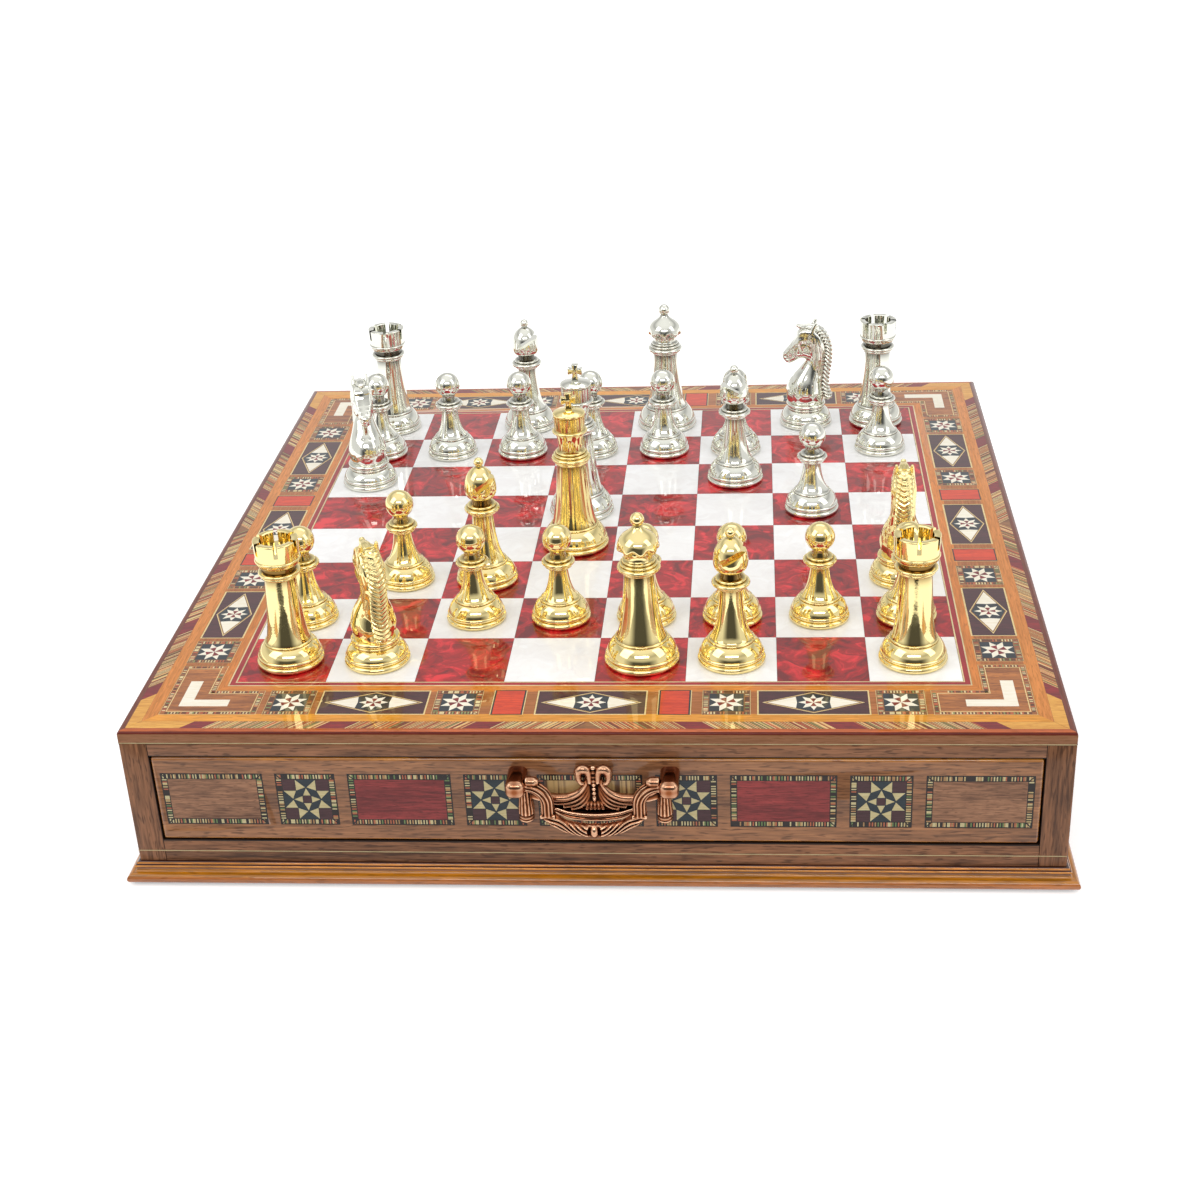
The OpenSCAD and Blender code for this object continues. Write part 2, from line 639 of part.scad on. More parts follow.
BISHOP = concat(turned_foot(15, 9.2, 10.6), bead(9.6, 10.7, 1.3), [[8.8, 12.1]],
    bend([8.8, 12.1], [5.4, 17], [4.9, 35.8], 7), bead(6.6, 35.9, 1.3), bead(8.4, 37.3, 2.2),
    bead(6.8, 39.6, 1.3), [[4.8, 41.2], [4.4, 43.4]], bend([4.4, 43.4], [8.2, 45], [7.5, 49.2], 5),
    bend([7.5, 49.2], [6.9, 54.5], [1.9, 59], 6), arc([0, 61.6], 2.4, -50, 90, 6));

QUEEN = concat(turned_foot(16.7, 10.5, 11.2), bead(11, 11.3, 1.4), [[10.2, 12.8]],
    bend([10.2, 12.8], [7.4, 19], [6.5, 43.4], 7), bead(7.8, 43.5, 1.2), bead(9.5, 44.8, 2.4),
    bead(8.4, 47.3, 1.3), bead(7.4, 48.7, 1.2), [[6.2, 50.6]], bend([6.2, 50.6], [6.4, 54], [8.7, 55.4], 4),
    [[8.75, 57.8], [7.4, 58.8]], bend([7.4, 58.8], [5.3, 59.4], [5, 61.6], 4),
    bend([5, 61.6], [4.6, 64.4], [2.2, 65.2], 4), arc([0, 68.2], 3.1, -50, 90, 8));

KING = concat(turned_foot(16.7, 10.8, 11.2), bead(11.3, 11.3, 1.4), [[10.5, 12.8]],
    bend([10.5, 12.8], [8, 20], [7.1, 44.2], 7), bead(8.4, 44.3, 1.3), bead(9.6, 45.7, 2.4),
    bead(8.5, 48.2, 1.3), bead(7.4, 49.6, 1.2), [[5.9, 51.6]], bend([5.9, 51.6], [5.9, 57], [7.2, 60], 4),
    bead(8.6, 60.1, 1.6), [[7.4, 61.9], [7.6, 68.6]], bead(7.9, 68.7, 1.8), [[6.4, 70.9], [0, 71.9]]);

KNIGHT_BASE = concat(turned_foot(14.75, 10.4, 9.4), bead(10.6, 9.5, 1.2), bead(11, 10.8, 2.4), [[0, 13.2]]);

// Side view of the horse's head, facing left, and its half width at each height
HORSE = concat([[-9.5, 12.5], [-10.9, 16], [-11.2, 20]],
    bend([-11.2, 20], [-10.6, 25.5], [-6, 30.2], 4), bend([-6, 30.2], [-0.6, 34.2], [0.8, 36.6], 3),
    bend([0.8, 36.6], [-1, 40.8], [-4.4, 39.2], 4), bend([-4.4, 39.2], [-7, 36.6], [-9.6, 35.8], 3),
    [[-11.4, 36.6], [-13.2, 38.8], [-13.4, 41.4]], bend([-13.4, 41.4], [-9.5, 46.4], [-5.6, 51], 4),
    [[-5.9, 56.4], [-3.6, 54.6], [-1.4, 56.2], [2.4, 56.6], [4.8, 60], [5, 56.4]],
    bend([5, 56.4], [13.2, 52.8], [14.6, 42.5], 6), bend([14.6, 42.5], [14.8, 34], [12.8, 25], 4),
    bend([12.8, 25], [12.6, 19], [14.4, 15.4], 3), [[13, 14], [10, 14.4], [9, 12.5]]);
HORSE_HALF = [[9.4, 12], [9.8, 17], [8.2, 24], [6.4, 31], [5.6, 38], [5.4, 46], [4.4, 52], [3.6, 57], [2.4, 60.5]];

function top_of(p) = max([for (q = p) q[1]]);
function reach_of(p) = max([for (q = p) q[0]]);

// A turned outline stretched to diameter d and height h
module turned(outline, d, h) {
    rotate_extrude() polygon([for (p = outline) [p[0] * d / 2 / reach_of(outline), p[1] * h / top_of(outline)]]);
}

module pawn() { turned(PAWN, pawn_d, pawn_h); }

module rook() {
    difference() {
        turned(ROOK, rook_d, rook_h);
        for (i = [0 : rook_slots / 2 - 1]) rotate([0, 0, (i + 0.5) * 360 / rook_slots])
            translate([-rook_d / 2, -1, rook_h - 5.4]) cube([rook_d, 2, 5.4 + cut]);
    }
}

module bishop() {
    difference() {
        turned(BISHOP, bishop_d, bishop_h);
        translate([4.2, 0, bishop_h * 0.8]) rotate([0, 32, 0]) translate([-2, -bishop_d / 2, 0]) cube([12, bishop_d, 1.8]);
    }
}

module queen() {
    difference() {
        turned(QUEEN, queen_d, queen_h);
        for (i = [0 : crown_points - 1]) rotate([0, 0, (i + 0.5) * 360 / crown_points])
            translate([queen_d * 0.293, 0, queen_h * 0.75]) cylinder(r = 1.7, h = queen_h * 0.12);
    }
}

// The cross stands on the cap: four flared arms round a small block
module king() {
    body = king_h - cross_h;
    sunk = 0.6;
    neck = cross_h + sunk - 2;
    flare = [[0.9, 0], [cross_w / 2 - 2.2, -1.2], [cross_w / 2, -1.9], [cross_w / 2, 1.9], [cross_w / 2 - 2.2, 1.2]];
    turned(KING, king_d, body);
    translate([0, cross_t / 2, body - sunk]) rotate([90, 0, 0]) linear_extrude(cross_t) {
        translate([0, cross_h + sunk - cross_w / 2]) {
            polygon(flare);
            mirror([1, 0]) polygon(flare);
            rotate(90) polygon([for (p = flare) [p[0], p[1] * 0.9]]);
        }
        polygon([[-2, 0], [2, 0], [1.2, 2.2], [1.2, neck], [-1.2, neck], [-1.2, 2.2]]);
    }
}

module knight() {
    sx = knight_d / 2 / reach_of(KNIGHT_BASE);
    sz = knight_h / top_of(HORSE);
    side = [for (p = HORSE) [p[0] * sx, p[1] * sz]];
    width = both_halves([for (i = [len(HORSE_HALF) - 1 : -1 : 0]) [HORSE_HALF[i][0] * sx, HORSE_HALF[i][1] * sz]]);
    turned(KNIGHT_BASE, knight_d, top_of(KNIGHT_BASE) * sz);
    intersection() {
        translate([0, knight_d / 2, 0]) rotate([90, 0, 0]) linear_extrude(knight_d) polygon(side);
        bar(2 * knight_d) polygon(width);
        translate([sx, 0, 0]) scale([1.45, 1, 1]) cylinder(r = 9.8 * sx, h = knight_h + cut);
    }
}

// Places a piece on its square, such as "e4", and turns it
module chess_piece(p) {
    file = search(p[3][0], "abcdefgh")[0];
    rank = ord(p[3][1]) - ord("1");
    translate([(file + 0.5) * square - field / 2, (rank + 0.5) * square - field / 2, top_z])
        rotate([0, 0, p[4]]) color(p[2] == "gold" ? gold : silver) {
            if (p[1] == "pawn") pawn();
            if (p[1] == "rook") rook();
            if (p[1] == "knight") knight();
            if (p[1] == "bishop") bishop();
            if (p[1] == "queen") queen();
            if (p[1] == "king") king();
        }
}

side_panels();
case_bottom();
cross_rails();
centre_partition();
drawer_runners();
base_moulding();
foot_pads();
top_board();
light_squares();
dark_squares();
star_tiles();
lozenge_tiles();
corner_and_red_tiles();
rope_banding();
drawer_face();  // front_drawer_face
drawer_inlay();  // front_drawer_inlay
drawer_box();  // front_drawer_box
drawer_dividers();  // front_drawer_dividers
handle_plate();  // front_handle_plate
handle_screws();  // front_handle_screws
handle_bail();  // front_handle_bail
at_back() drawer_face();  // back_drawer_face
at_back() drawer_inlay();  // back_drawer_inlay
at_back() drawer_box();  // back_drawer_box
at_back() drawer_dividers();  // back_drawer_dividers
at_back() handle_plate();  // back_handle_plate
at_back() handle_screws();  // back_handle_screws
at_back() handle_bail();  // back_handle_bail
for (p = PIECES) chess_piece(p);
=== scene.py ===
# %% [markdown]
# # A chess box with drawers
# The box is a low walnut case with a moulded foot, a drawer at the front and another at the
# back. Its lid is a lacquered board with an inlaid border, and a set of polished metal
# chessmen stands on it in the middle of a game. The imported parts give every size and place.
# This lesson gives the parts their finish, and builds the fine shapes round them.

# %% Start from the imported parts
import json
import math

import bmesh
import bpy
import numpy as np
from mathutils import Matrix, Vector
from mathutils.geometry import delaunay_2d_cdt


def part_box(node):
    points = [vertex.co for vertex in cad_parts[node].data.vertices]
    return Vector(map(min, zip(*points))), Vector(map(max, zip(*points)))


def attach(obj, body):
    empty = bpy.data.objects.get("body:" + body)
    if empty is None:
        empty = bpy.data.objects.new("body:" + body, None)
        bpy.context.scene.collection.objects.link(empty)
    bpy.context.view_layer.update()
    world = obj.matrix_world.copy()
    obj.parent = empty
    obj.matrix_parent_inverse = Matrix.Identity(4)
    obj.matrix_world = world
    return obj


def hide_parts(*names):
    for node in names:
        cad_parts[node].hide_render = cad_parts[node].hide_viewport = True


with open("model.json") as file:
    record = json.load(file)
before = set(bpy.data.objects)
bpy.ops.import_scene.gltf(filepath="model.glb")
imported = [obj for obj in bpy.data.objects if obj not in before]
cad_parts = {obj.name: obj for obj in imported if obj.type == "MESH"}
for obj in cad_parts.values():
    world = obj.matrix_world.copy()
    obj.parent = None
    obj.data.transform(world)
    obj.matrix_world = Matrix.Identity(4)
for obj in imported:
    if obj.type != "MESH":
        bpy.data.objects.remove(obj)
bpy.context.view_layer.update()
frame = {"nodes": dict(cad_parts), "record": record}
scene = bpy.context.scene
MM = 0.001
QUARTER = math.pi / 2

# %% [markdown]
# ## Sizes
# The frame gives the sizes that the parts already have. The border is laid out from its outer
# edge inwards, as the maker of the board does it, with the sizes of the parts.

# %% Sizes of the board and of its border
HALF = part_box("top_board")[1].x
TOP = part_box("top_board")[1].z
FACE_LO, FACE_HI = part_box("front_drawer_face")
GLUE = 0.1 * MM
FIELD = 2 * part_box("dark_squares")[1].x + GLUE
FILES = 8
SQUARE = FIELD / FILES
INLAY = 1.2 * MM
STEP = 0.02 * MM
TILE = 20.5 * MM
FRAME = 3 * MM
ROPE_OUT = HALF - 3 * MM
ROPE_W = 5.5 * MM
BAND_OUT = ROPE_OUT - ROPE_W - 5.6 * MM
BAND_MID = BAND_OUT - TILE / 2
SMALL_GAP, WIDE_GAP = 2.6 * MM, 4.5 * MM
RED_LEN = 14.4 * MM
ARM = 42.5 * MM
LOZENGE = (BAND_OUT - ARM - 2 * WIDE_GAP - RED_LEN - 2 * TILE - 3 * SMALL_GAP) / 1.5
RED_X = LOZENGE / 2 + WIDE_GAP + RED_LEN / 2
STAR_1X = RED_X + RED_LEN / 2 + WIDE_GAP + TILE / 2
LOZENGE_X = STAR_1X + TILE / 2 + SMALL_GAP + LOZENGE / 2
STAR_2X = LOZENGE_X + LOZENGE / 2 + SMALL_GAP + TILE / 2
print("square", round(SQUARE / MM, 2), "mm, lozenge tile", round(LOZENGE / MM, 2), "mm long")

# %% [markdown]
# ## Camera, light and floor
# The camera looks down on the front of the box from a little to its right. The light is soft:
# the box stands in a white tent, as small goods do in a studio, with large panels outside it.
# The tent is open towards the camera. Polished metal shows that opening as a dark band.

# %% Camera
VIEW_FROM = Vector((70.0, -852.2, 476.3)) * MM
VIEW_ALONG = Vector((-0.0839, 0.8844, -0.4592))
VIEW_ROLL = math.radians(-2.77)
LENS_MM, SENSOR_MM = 55.553, 36


def in_scene(name, data):
    """A new object in the scene with this camera, lamp or mesh."""
    made = bpy.data.objects.new(name, data)
    scene.collection.objects.link(made)
    return made


camera = in_scene("camera", bpy.data.cameras.new("camera"))
camera.data.lens = LENS_MM
camera.data.sensor_width = SENSOR_MM
camera.data.clip_start = 0.01
camera.location = VIEW_FROM
aim = VIEW_ALONG.to_track_quat("-Z", "Y").to_matrix().to_4x4()
camera.rotation_euler = (aim @ Matrix.Rotation(VIEW_ROLL, 4, "Z")).to_euler()
scene.camera = camera
scene.view_settings.view_transform = "Standard"

# %% [markdown]
# Building nodes in code is easier with one helper. It adds a node, sets its options, and fills
# its inputs with plain values or with the outputs of other nodes.

# %% Helper for nodes
def add(tree, kind, inputs=(), **options):
    made = tree.nodes.new(kind)
    for name, value in options.items():
        setattr(made, name, value)
    pairs = inputs.items() if isinstance(inputs, dict) else enumerate(inputs)
    for key, value in pairs:
        if isinstance(value, bpy.types.Node):
            value = value.outputs[0]
        if isinstance(value, bpy.types.NodeSocket):
            tree.links.new(value, made.inputs[key])
        elif value is not None:
            made.inputs[key].default_value = value
    return made


# %% [markdown]
# The nodes that come again and again get a short name each.

# %% Short names for common nodes
def calc(tree, operation, *values):
    return add(tree, "ShaderNodeMath", values, operation=operation).outputs[0]


def vector_calc(tree, operation, *values):
    return add(tree, "ShaderNodeVectorMath", values, operation=operation).outputs[0]


def scaled(tree, vector, share):
    return add(tree, "ShaderNodeVectorMath", {0: vector, 3: share}, operation="SCALE").outputs[0]


def split(tree, vector):
    return add(tree, "ShaderNodeSeparateXYZ", [vector]).outputs


def combined(tree, *axes):
    return add(tree, "ShaderNodeCombineXYZ", axes).outputs[0]


def ranged(tree, value, low, high, to_low=0, to_high=1):
    """Carries a value from one range over to another, and holds it there."""
    return add(tree, "ShaderNodeMapRange", [value, low, high, to_low, to_high]).outputs[0]


def mixed(tree, share, first, second, kind="RGBA"):
    """Mixes two colours, or two vectors with kind VECTOR."""
    at = {"RGBA": (0, 6, 7, 2), "VECTOR": (0, 4, 5, 1)}[kind]
    node = add(tree, "ShaderNodeMix", {at[0]: share, at[1]: first, at[2]: second}, data_type=kind)
    return node.outputs[at[3]]


def ramp_of(tree, value, stops, kind="LINEAR"):
    """A colour ramp with these stops, each a place from 0 to 1 and a colour."""
    node = add(tree, "ShaderNodeValToRGB", [value])
    node.color_ramp.interpolation = kind
    steps = node.color_ramp.elements
    while len(steps) > 1:
        steps.remove(steps[-1])
    for place, shade in stops:
        step = steps[0] if place <= 0 else steps.new(place)
        step.color = shade
    return node.outputs[0]


# %% [markdown]
# A node tree has named sockets, so that it can be used like a tool with settings.

# %% Helpers for node trees and colours
def new_tree(kind, name, inputs, outputs):
    """A node group with named sockets. Gives the tree, its input sockets and its output node."""
    tree = bpy.data.node_groups.new(name, kind)
    for title, socket, value in inputs:
        made = tree.interface.new_socket(title, in_out="INPUT", socket_type="NodeSocket" + socket)
        if value is not None:
            made.default_value = value
    for title, socket in outputs:
        tree.interface.new_socket(title, in_out="OUTPUT", socket_type="NodeSocket" + socket)
    given = tree.nodes.new("NodeGroupInput").outputs
    return tree, given, tree.nodes.new("NodeGroupOutput")


def finish_tree(tree, end, **results):
    for title, value in results.items():
        socket = value.outputs[0] if isinstance(value, bpy.types.Node) else value
        tree.links.new(socket, end.inputs[title])


def colour(code):
    """A colour as a painter writes it, #rrggbb, made linear for the shader."""
    parts = [int(code[i:i + 2], 16) / 255 for i in (1, 3, 5)]
    return [p / 12.92 if p <= 0.04045 else ((p + 0.055) / 1.055) ** 2.4 for p in parts] + [1]


# %% Light panels
def light_panel(name, place, size, watts, aim_at=(0, 0, 0.05)):
    lamp = bpy.data.lights.new(name, "AREA")
    lamp.shape = "RECTANGLE"
    lamp.size, lamp.size_y = size
    lamp.energy = watts
    panel = in_scene(name, lamp)
    panel.location = place
    panel.rotation_euler = (Vector(aim_at) - Vector(place)).to_track_quat("-Z", "Y").to_euler()


light_panel("left_panel", (-1.5, -0.9, 1.5), (1.2, 1.6), 9)
light_panel("right_panel", (1.7, -0.6, 1.4), (0.9, 1.6), 6)
light_panel("front_panel", (0.1, -2.0, 1.5), (1.8, 0.35), 12)
light_panel("back_panel", (0.2, 1.3, 2.3), (2.0, 0.8), 4)

# %% The room around them
# Height above the horizon, and how bright the white walls are there
WALLS = [(0.0, 0.85), (0.3, 0.8), (0.55, 0.5), (0.8, 0.95), (1.0, 1.05)]
room = bpy.data.worlds.new("room")
scene.world = room
room.use_nodes = True
sky = room.node_tree
sky.nodes.clear()
way = split(sky, add(sky, "ShaderNodeTexCoord").outputs["Generated"])
shades = ramp_of(sky, way[2], [(rise, (shade, shade, shade, 1)) for rise, shade in WALLS])
opening = ranged(sky, calc(sky, "MULTIPLY", way[1], -1.0), 0.55, 0.9, 0, 0.9)
lintel = ranged(sky, way[2], 0.2, 0.4, 1, 0)
walls = mixed(sky, calc(sky, "MULTIPLY", opening, lintel), shades, colour("#000000"))
seen = add(sky, "ShaderNodeLightPath").outputs["Is Camera Ray"]
glow = add(sky, "ShaderNodeBackground", [mixed(sky, seen, walls, colour("#ffffff"))])
add(sky, "ShaderNodeOutputWorld", [glow])

# %% [markdown]
# The floor is white, and ends at the opening of the tent. For the camera, and in the polish of
# the metal, a share of its own light lifts it to white, while the shadow of the box still
# falls on it.

# %% Floor
FLOOR_FRONT, FLOOR_BACK, FLOOR_SIDE = -0.43, 6, 6
FLOOR_Z = -0.1 * MM


def mesh_of(name, points, faces=(), edges=()):
    mesh = bpy.data.meshes.new(name)
    mesh.from_pydata(points, edges, faces)
    return mesh


floor_corners = [(x * FLOOR_SIDE, y, FLOOR_Z) for x, y in
                 ((-1, FLOOR_FRONT), (1, FLOOR_FRONT), (1, FLOOR_BACK), (-1, FLOOR_BACK))]
floor = in_scene("floor", mesh_of("floor", floor_corners, [(0, 1, 2, 3)]))
floor_paint = bpy.data.materials.new("floor_paint")
floor_paint.use_nodes = True
tree = floor_paint.node_tree
tree.nodes.clear()
path = add(tree, "ShaderNodeLightPath")
seen = calc(tree, "MAXIMUM", path.outputs["Is Camera Ray"], path.outputs["Is Glossy Ray"])
seen = calc(tree, "MAXIMUM", seen, path.outputs["Is Transmission Ray"])
matt = add(tree, "ShaderNodeBsdfDiffuse", [colour("#f2f2f2")])
own_light = add(tree, "ShaderNodeEmission", [colour("#ffffff"), calc(tree, "MULTIPLY", seen, 0.35)])
add(tree, "ShaderNodeOutputMaterial", [add(tree, "ShaderNodeAddShader", [matt, own_light])])
floor.data.materials.append(floor_paint)

# %% [markdown]
# ## Finishes
# Each effect that more than one finish uses is a node group. Wood grain is noise stretched
# along the board: broad growth figure, fine fibre, and short dark pores.

# %% Wood grain
GRAIN, given, end = new_tree("ShaderNodeTree", "Wood grain", [
    ("Vector", "Vector", None), ("Light", "Color", colour("#a5754f")),
    ("Dark", "Color", colour("#5d3a26")), ("Figure", "Float", 0.5), ("Fineness", "Float", 1.0)],
    [("Color", "Color"), ("Pores", "Float"), ("Tone", "Float")])
FIGURE_SIZE, FIBRE_SIZE, PORE_SIZE = (5, 60, 60), (55, 850, 850), (140, 950, 950)


def stretched_noise(tree, place, size, detail, distortion=0.0):
    spread = vector_calc(tree, "MULTIPLY", place, size)
    return add(tree, "ShaderNodeTexNoise", {"Vector": spread, "Scale": 1.0, "Detail": detail,
                                            "Roughness": 0.6, "Distortion": distortion}).outputs[0]


fine = scaled(GRAIN, given["Vector"], given["Fineness"])
figure = stretched_noise(GRAIN, fine, FIGURE_SIZE, 3, 0.5)
rings = calc(GRAIN, "SINE", calc(GRAIN, "MULTIPLY", figure, 55))
fibre = stretched_noise(GRAIN, fine, FIBRE_SIZE, 2)
pores = ranged(GRAIN, stretched_noise(GRAIN, fine, PORE_SIZE, 1), 0.57, 0.67)
wide = calc(GRAIN, "MULTIPLY_ADD", calc(GRAIN, "SUBTRACT", figure, 0.5), 2.2, 0.5)
wide = calc(GRAIN, "MULTIPLY_ADD", rings, 0.12, wide)
tone = calc(GRAIN, "MULTIPLY_ADD", calc(GRAIN, "SUBTRACT", wide, 0.5), given["Figure"], 0.5)
tone = calc(GRAIN, "MULTIPLY_ADD", calc(GRAIN, "SUBTRACT", fibre, 0.5), 1.7, tone)
tone = add(GRAIN, "ShaderNodeClamp", [tone]).outputs[0]
wood = mixed(GRAIN, tone, given["Dark"], given["Light"])
pored = mixed(GRAIN, calc(GRAIN, "MULTIPLY", pores, 0.7), wood, given["Dark"])
finish_tree(GRAIN, end, Color=pored, Pores=pores, Tone=tone)

# %% [markdown]
# The border is a frame with mitred corners, so its grain runs along each side and its thin
# strips of wood lie one inside the other. One group turns the coordinates for each side and
# also gives the distance from the middle of the board.

# %% Mitred frame
MITRE, given, end = new_tree("ShaderNodeTree", "Mitred frame", [("Vector", "Vector", None)],
                             [("Vector", "Vector"), ("Distance", "Float")])
x, y, z = split(MITRE, given["Vector"])
across, along = calc(MITRE, "ABSOLUTE", x), calc(MITRE, "ABSOLUTE", y)
sideways = combined(MITRE, y, calc(MITRE, "ADD", x, 3.0), z)
side = calc(MITRE, "GREATER_THAN", across, along)
finish_tree(MITRE, end, Vector=mixed(MITRE, side, given["Vector"], sideways, "VECTOR"),
            Distance=calc(MITRE, "MAXIMUM", across, along))

# %% [markdown]
# The squares are cut from sheets of crushed pearl: folded, silky flakes that catch the light
# at different angles. Ridged noise on bent coordinates draws the folds.

# %% Crushed pearl
PEARL, given, end = new_tree("ShaderNodeTree", "Crushed pearl", [
    ("Vector", "Vector", None), ("Deep", "Color", None), ("Middle", "Color", None),
    ("Bright", "Color", None), ("Scale", "Float", 70.0)], [("Color", "Color"), ("Folds", "Float")])
bend = add(PEARL, "ShaderNodeTexNoise", {"Vector": given["Vector"], "Scale": 45.0, "Detail": 2.0})
bent = vector_calc(PEARL, "ADD", given["Vector"], scaled(PEARL, bend.outputs["Color"], 0.035))
flakes = add(PEARL, "ShaderNodeTexVoronoi", {"Vector": bent, "Scale": given["Scale"],
                                             "Randomness": 1.0}, feature="F1")
flake = add(PEARL, "ShaderNodeSeparateColor", [flakes.outputs["Color"]]).outputs[0]
folds = add(PEARL, "ShaderNodeTexNoise", {"Vector": bent, "Scale": 85.0, "Detail": 4.0,
                                          "Roughness": 0.65, "Distortion": 0.8}).outputs[0]
silk = calc(PEARL, "MULTIPLY_ADD", calc(PEARL, "SUBTRACT", folds, 0.5), 3.2,
            calc(PEARL, "MULTIPLY_ADD", flake, 0.5, 0.2))
silk = add(PEARL, "ShaderNodeClamp", [silk]).outputs[0]
low = mixed(PEARL, ranged(PEARL, silk, 0.0, 0.5), given["Deep"], given["Middle"])
high = ranged(PEARL, silk, 0.55, 1.0)
finish_tree(PEARL, end, Color=mixed(PEARL, high, low, given["Bright"]), Folds=silk)

# %% [markdown]
# Polished castings are never quite even. A slow waviness bends their reflections, and
# fingerprints and fine dust dull the polish in places.

# %% Hand polish
POLISH, given, end = new_tree("ShaderNodeTree", "Hand polish", [
    ("Vector", "Vector", None), ("Low", "Float", 0.05), ("High", "Float", 0.15)],
    [("Roughness", "Float"), ("Height", "Float")])
smear = stretched_noise(POLISH, given["Vector"], (90, 90, 60), 4, 1.0)
spots = stretched_noise(POLISH, given["Vector"], (900, 900, 900), 1)
dull = ranged(POLISH, smear, 0.35, 0.75, given["Low"], given["High"])
waves = stretched_noise(POLISH, given["Vector"], (160, 160, 90), 1)
finish_tree(POLISH, end, Roughness=dull, Height=calc(POLISH, "MULTIPLY_ADD", spots, 0.08, waves))


# %% A material and its main shader
def new_material(name, **sockets):
    made = bpy.data.materials.new(name)
    made.use_nodes = True
    shader = made.node_tree.nodes["Principled BSDF"]
    for title, value in sockets.items():
        shader.inputs[title.replace("_", " ")].default_value = value
    return made, made.node_tree, shader


def lacquered(name, rough=0.4, coat=1.0, coat_rough=0.03, **more):
    """A material under a clear coat."""
    return new_material(name, Roughness=rough, Specular_IOR_Level=0.2, Coat_Weight=coat,
                        Coat_Roughness=coat_rough, **more)


def use(tree, group, **inputs):
    """Places a node group and fills its inputs."""
    node = add(tree, "ShaderNodeGroup")
    node.node_tree = group
    for title, value in inputs.items():
        socket = node.inputs[title.replace("_", " ")]
        if isinstance(value, bpy.types.NodeSocket):
            tree.links.new(value, socket)
        else:
            socket.default_value = value
    return node.outputs


def place_of(tree, turn=(0, 0, 0)):
    """Object coordinates, turned so that the grain runs along X."""
    here = add(tree, "ShaderNodeTexCoord").outputs["Object"]
    return add(tree, "ShaderNodeMapping", {"Vector": here, "Rotation": turn}).outputs[0]


def painted(tree, shader, base, height=None, depth=0.0, strength=0.3):
    """Gives a shader its colour, and a relief of this depth in metres."""
    tree.links.new(base, shader.inputs["Base Color"])
    if height is not None:
        bump = add(tree, "ShaderNodeBump", {"Height": height, "Distance": depth, "Strength": strength})
        tree.links.new(bump.outputs[0], shader.inputs["Normal"])


# %% [markdown]
# Every wood is the same grain group with its own two colours, its own direction, and a coat
# of clear lacquer. Wood that faces a drawer is painted dark as painted shade, up to its arris.

# %% Woods
ALONG_Y, UPRIGHT = (0, 0, -QUARTER), (0, QUARTER, 0)
# How far above and below the drawer the case is painted dark as painted shade
SHADE_REACH = 1.1 * MM
PORE_DEPTH = -0.05 * MM
# The third colour is painted shade, for faces in the gaps round the drawers and inside the case
CASE_LIGHT, CASE_DARK, PAINTED_SHADE = "#9d6a48", "#432817", "#22140c"
BARE_LIGHT, BARE_DARK = "#d8b07c", "#a87c4c"


def looks_of(tree):
    """The direction that a face looks in."""
    return split(tree, add(tree, "ShaderNodeTexCoord").outputs["Normal"])


def wood_material(name, light, dark, turn=(0, 0, 0), figure=0.6, coat=0.3, darkened=False):
    made, tree, shader = lacquered(name, 0.5, coat, 0.12)
    grain = use(tree, GRAIN, Vector=place_of(tree, turn), Light=colour(light), Dark=colour(dark),
                Figure=figure)
    tint = grain["Color"]
    if darkened:
        # Faces that don't look to the front or back, and the front close to the drawer, are painted dark:
        # painted shade of the gaps
        inner = calc(tree, "LESS_THAN", calc(tree, "ABSOLUTE", looks_of(tree)[1]), 0.5)
        near = calc(tree, "COMPARE", split(tree, place_of(tree))[2], (FACE_LO.z + FACE_HI.z) / 2,
                    (FACE_HI.z - FACE_LO.z) / 2 + SHADE_REACH)
        tint = mixed(tree, calc(tree, "MAXIMUM", inner, near), tint, colour(PAINTED_SHADE))
    painted(tree, shader, tint, grain["Pores"], PORE_DEPTH)
    return made


WALNUT = wood_material("walnut_long", CASE_LIGHT, CASE_DARK, figure=0.7, darkened=True)
BARE_WOOD = wood_material("bare_wood", BARE_LIGHT, BARE_DARK, coat=0)
BARE_WOOD_SIDE = wood_material("bare_wood_side", BARE_LIGHT, BARE_DARK, ALONG_Y, coat=0)
DIVIDER_WOOD = wood_material("divider_wood", "#7a543a", "#4b3020", ALONG_Y, coat=0)
print("woods:", [m.name for m in bpy.data.materials if m.use_nodes])

# %% [markdown]
# A side panel shows its long grain at the side and its narrow edge at the front, where the
# grain stands upright. The direction that a face looks in picks the coordinates, and the
# inner faces are painted dark as painted shade.

# %% Side panels
WALNUT_SIDE, tree, shader = lacquered("walnut_side", 0.5, 0.3, 0.12)
looks = looks_of(tree)
at_end = calc(tree, "GREATER_THAN", calc(tree, "ABSOLUTE", looks[1]), 0.7)
place = mixed(tree, at_end, place_of(tree, ALONG_Y), place_of(tree, UPRIGHT), "VECTOR")
grain = use(tree, GRAIN, Vector=place, Light=colour(CASE_LIGHT), Dark=colour(CASE_DARK), Figure=0.7)
across = split(tree, place_of(tree))[0]
# Faces that look into the case get the painted shade colour
inward = calc(tree, "LESS_THAN", calc(tree, "MULTIPLY", across, looks[0]), -0.1)
painted(tree, shader, mixed(tree, inward, grain["Color"], colour(PAINTED_SHADE)), grain["Pores"], PORE_DEPTH)

# %% [markdown]
# The lid lies in nested strips of wood: a red line and two cream lines round the playing
# field, orange wood round the tiles, brown wood outside, and a dark edge. One colour ramp
# over the distance from the middle picks the strip, and the grain shades it. Below its dark
# edge the lid is walnut, as the case is.

